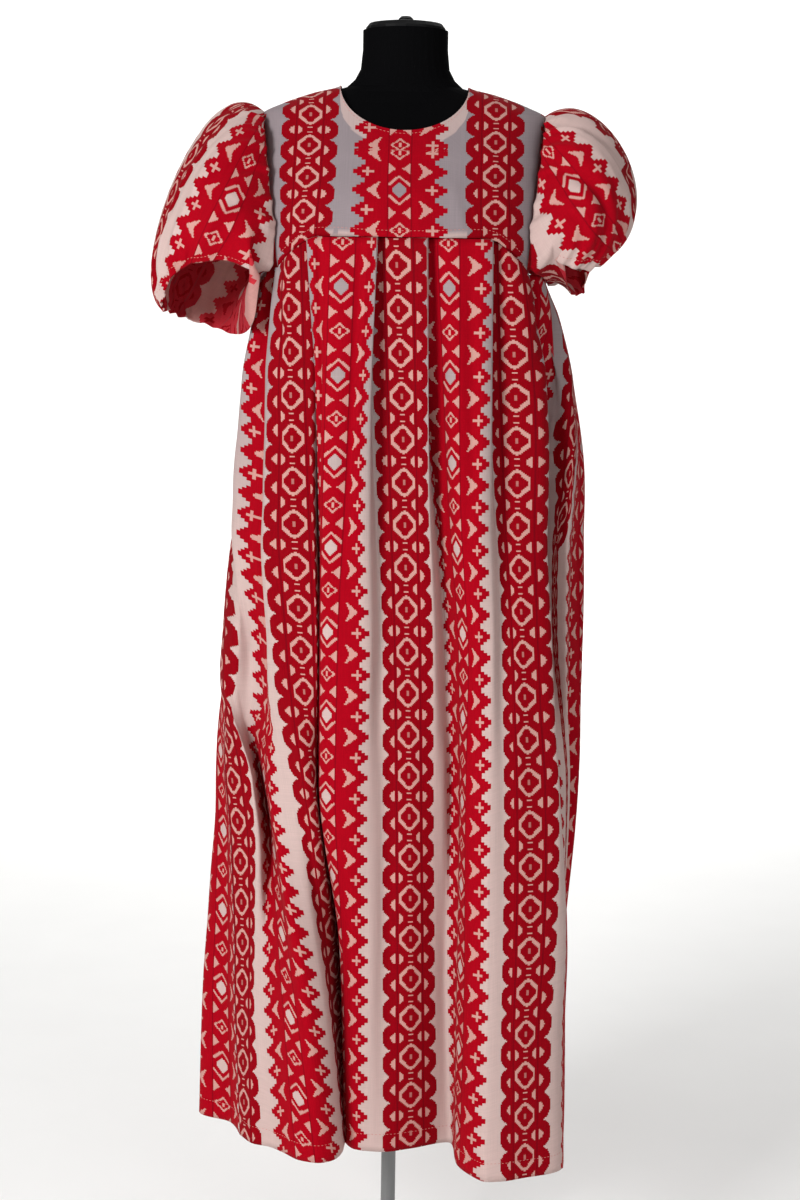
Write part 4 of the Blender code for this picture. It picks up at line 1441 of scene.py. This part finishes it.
def make_sleeve_cloth(name, side, table, materials):
    """One sleeve, measured round the arm and along its grain, and the points along its hem."""
    grid = sleeve_grid(side, table, SLEEVE_COLUMNS, SLEEVE_ROWS)
    tilt, diamond_x, diamond_z, centre_x, centre_z = SLEEVE_GRAIN[name]
    tilt = math.radians(tilt)
    along = np.array((math.sin(tilt), 0, -math.cos(tilt)))
    across = np.array((math.cos(tilt), 0, math.sin(tilt)))
    centre = np.array((centre_x, 0, centre_z)) * MM
    diamond = np.array((diamond_x, DIAMOND_DEPTH, diamond_z)) * MM - centre
    wound = np.concatenate([grid, grid[:, :1]], axis=1) - centre
    turn = np.unwrap(np.arctan2(wound @ across, -wound[:, :, 1]), axis=1)
    turn -= math.atan2(diamond @ across, -diamond[1])
    radius = SLEEVE_CUT_WIDTH / (2 * math.pi)
    down = (wound @ along - diamond @ along) * SLEEVE_STRETCH
    height = wound[:, :, 2] + centre[2]
    plain = PLAIN_STRIP[name] * np.clip((height - PLAIN_FROM) / PLAIN_OVER, 0, 1)
    past = np.clip((turn * radius - PLAIN_EDGE) / (plain * 1.5 + 10 * MM), 0, 1)
    around = turn * radius - plain * past**2 * (3 - 2 * past)
    cut = np.stack([around + BAND_SPACING * MM, down], axis=2)
    away = grid[SLEEVE_ROWS // 2, SLEEVE_COLUMNS // 2] - grid[SLEEVE_ROWS // 2].mean(axis=0)
    places = np.meshgrid(
        np.arange(SLEEVE_COLUMNS) * 360 / SLEEVE_COLUMNS * SLEEVE_TURN,
        np.arange(SLEEVE_ROWS + 1) / SLEEVE_ROWS * 100 * SLEEVE_FALL,
    )
    folds = sleeve_creases(SLEEVE_FOLDS[name])
    grid = creased(grid, np.stack(places, axis=2), folds, away, wraps=True)
    thing = shell(name, grid, cut, away, *materials, wraps=True)
    return thing, [seam_line(grid, SLEEVE_ROWS * SLEEVE_STITCHES, away, wraps=True)]


def sleeve_creases(folds):
    """The main folds, and uneven gathers fanning from the head and from the hem."""
    to_cloth = np.array((SLEEVE_TURN, SLEEVE_FALL, SLEEVE_TURN, SLEEVE_FALL, 1, 1))
    table = [tuple(np.array(fold) * to_cloth) for fold in folds]
    for k in range(FINE_GATHERS):
        turn = (9 + k * GATHER_STEP + 3.5 * math.sin(k * 2.4)) * SLEEVE_TURN
        lean = 7 * math.sin(k * 3.1)
        reach = (26 + 12 * math.sin(k * 1.7 + 1)) * SLEEVE_FALL
        rise = 3.3 + 1.3 * math.sin(k * 4.3)
        table.append((turn, -12 * SLEEVE_FALL, turn + lean, reach, 5.0, rise))
        tight = math.exp(-(((turn / SLEEVE_TURN - 165) / 55) ** 2))
        turn += 4 * math.sin(k * 5.2) * SLEEVE_TURN
        low = (82 - 8 * math.sin(k * 2.9)) * SLEEVE_FALL
        table.append((turn, 106 * SLEEVE_FALL, turn - lean, low - 20, 5.5, rise * 0.6 * (1 - tight)))
    return table


# Studio


def make_studio():
    """Pale floor that curves up behind, soft lights, and the camera of the photograph."""
    profile = [(FLOOR_FRONT, 0.0), (FLOOR_BACK, 0.0)]
    for step in range(1, FLOOR_STEPS + 1):
        turn = step / FLOOR_STEPS * math.pi / 2
        rise = FLOOR_ROUND - FLOOR_ROUND * math.cos(turn)
        profile.append((FLOOR_BACK + FLOOR_ROUND * math.sin(turn), rise))
    profile.append((FLOOR_BACK + FLOOR_ROUND, FLOOR_TOP))
    points = [(x, y, z) for y, z in profile for x in (-FLOOR_HALF_WIDTH, FLOOR_HALF_WIDTH)]
    faces = [(2 * k, 2 * k + 1, 2 * k + 3, 2 * k + 2) for k in range(len(profile) - 1)]
    mesh = bpy.data.meshes.new("studio_floor")
    mesh.from_pydata(points, [], faces)
    mesh.shade_smooth()
    whites = ((0.86, 0.86, 0.85, 1), (0.9, 0.9, 0.89, 1))
    mesh.materials.append(rough_material("studio paper", *whites, 6, 0.9, relief=0.02))
    floor = bpy.data.objects.new("studio_floor", mesh)
    bpy.context.scene.collection.objects.link(floor)

    world = bpy.data.worlds.new("studio")
    world.use_nodes = True
    background = world.node_tree.nodes["Background"]
    background.inputs[0].default_value = (1.0, 0.99, 0.98, 1.0)
    background.inputs[1].default_value = 0.29
    bpy.context.scene.world = world
    # name, place, what it points at, size, watts
    lamps = (
        ("key", (-2.2, -2.9, 1.9), (0, 0, 1.0), 1.2, 128),
        ("fill", (1.9, -3.0, 1.5), (0, 0, 0.9), 2.2, 30),
        ("top", (0.2, 1.2, 3.6), (0, 0, 1.2), 1.6, 30),
        ("backdrop", (0.0, 4.6, 5.0), (0, 8.4, 0.4), 4.0, 420),
    )
    for name, place, aim, size, watts in lamps:
        light = bpy.data.lights.new(name, "AREA")
        light.size = size
        light.energy = watts
        lamp = bpy.data.objects.new(name, light)
        lamp.matrix_world = pointed(place, aim)
        bpy.context.scene.collection.objects.link(lamp)

    camera = bpy.data.cameras.new("camera")
    camera.lens = LENS
    camera.sensor_width = SENSOR
    camera_object = bpy.data.objects.new("camera", camera)
    bpy.context.scene.collection.objects.link(camera_object)
    tilt = Matrix.Rotation(math.radians(CAMERA_TILT), 4, "X")
    roll = Matrix.Rotation(math.radians(CAMERA_ROLL), 4, "Z")
    camera_object.matrix_world = Matrix.Translation(CAMERA_PLACE) @ tilt @ roll
    bpy.context.scene.camera = camera_object
    bpy.context.scene.view_settings.view_transform = "Standard"


def pointed(place, aim):
    """Matrix of a lamp that stands at a place and shines at another."""
    look = np.array(aim, float) - np.array(place, float)
    back = -look / np.linalg.norm(look)
    right = np.cross((0, 0, 1), back)
    right /= np.linalg.norm(right)
    up = np.cross(back, right)
    turned = Matrix([list(row) for row in np.stack([right, up, back], axis=1)])
    return Matrix.Translation(place) @ turned.to_4x4()


def dress_node(node, material):
    """Gives a CAD node's own object its finished material."""
    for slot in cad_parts[node].material_slots:
        slot.material = material


def main():
    """Builds the studio, dresses the form and its stand, and names each sheet of cloth."""
    make_studio()
    right_side = woven_cloth("jacquard cotton", RIGHT_SIDE)
    wrong_side_painted_lighter = woven_cloth("jacquard cotton, wrong side painted lighter", WRONG_SIDE_PAINTED_LIGHTER)
    cloth = (right_side, wrong_side_painted_lighter)
    made = {
        "yoke_cloth_front": make_yoke_cloth("yoke_cloth_front", True, FRONT_NECK_DROP, cloth),
        "yoke_cloth_back": make_yoke_cloth("yoke_cloth_back", False, BACK_NECK_DROP, cloth),
        "skirt_cloth_front": make_skirt_cloth("skirt_cloth_front", True, cloth),
        "skirt_cloth_back": make_skirt_cloth("skirt_cloth_back", False, cloth),
        "sleeve_cloth_left": make_sleeve_cloth("sleeve_cloth_left", -1, SLEEVE_LEFT, cloth),
        "sleeve_cloth_right": make_sleeve_cloth("sleeve_cloth_right", 1, SLEEVE_RIGHT, cloth),
    }

    # dark and bright tone of each finish
    jersey = ((0.0012, 0.0012, 0.0014, 1), (0.003, 0.003, 0.0034, 1))
    plastic = ((0.0015, 0.0015, 0.0018, 1), (0.004, 0.004, 0.0045, 1))
    steel = ((0.20, 0.205, 0.205, 1), (0.27, 0.275, 0.275, 1))
    paint = ((0.08, 0.08, 0.085, 1), (0.12, 0.12, 0.125, 1))
    dress_node("form_torso", rough_material("black jersey cover", *jersey, 900, 0.9, specular=0.02))
    dress_node("form_cap", rough_material("black cap plastic", *plastic, 300, 0.55, specular=0.1))
    brushed = rough_material("grey pole steel", *steel, 60, 0.45, 0.6, stretch=(6, 6, 0.4))
    dress_node("stand_pole", brushed)
    dress_node("stand_base", rough_material("grey painted base", *paint, 220, 0.5, 0.4))

    pinks = ((0.50, 0.16, 0.14, 1), (0.66, 0.28, 0.25, 1))
    tree = stitch_tree(rough_material("pink sewing thread", *pinks, 1500, 0.7))
    # piece, node it stands for, flat cut, how it is held, what it rests on, area
    sheets = (
        ("yoke_cloth_front", "yoke_front", (0.36, 0.25), "draped", ["form_torso"], 0.073),
        ("yoke_cloth_back", "yoke_back", (0.36, 0.26), "draped", ["form_torso"], 0.079),
        ("skirt_cloth_front", "skirt_front", (0.95, 1.20), "hung", ["yoke_cloth_front"], None),
        ("skirt_cloth_back", "skirt_back", (0.80, 1.20), "hung", ["yoke_cloth_back"], None),
        ("sleeve_cloth_left", "sleeve_left", (0.70, 0.34), "hung", ["yoke_cloth_front"], 0.13),
        ("sleeve_cloth_right", "sleeve_right", (0.70, 0.27), "hung", ["yoke_cloth_front"], 0.10),
    )
    for name, node, flat, held, rests_on, area in sheets:
        piece, seams = made[name]
        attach(piece, "root")
        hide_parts(node)
        rows = stitched(name.replace("cloth", "stitches"), seams, tree)
        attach(rows, "root")


main()
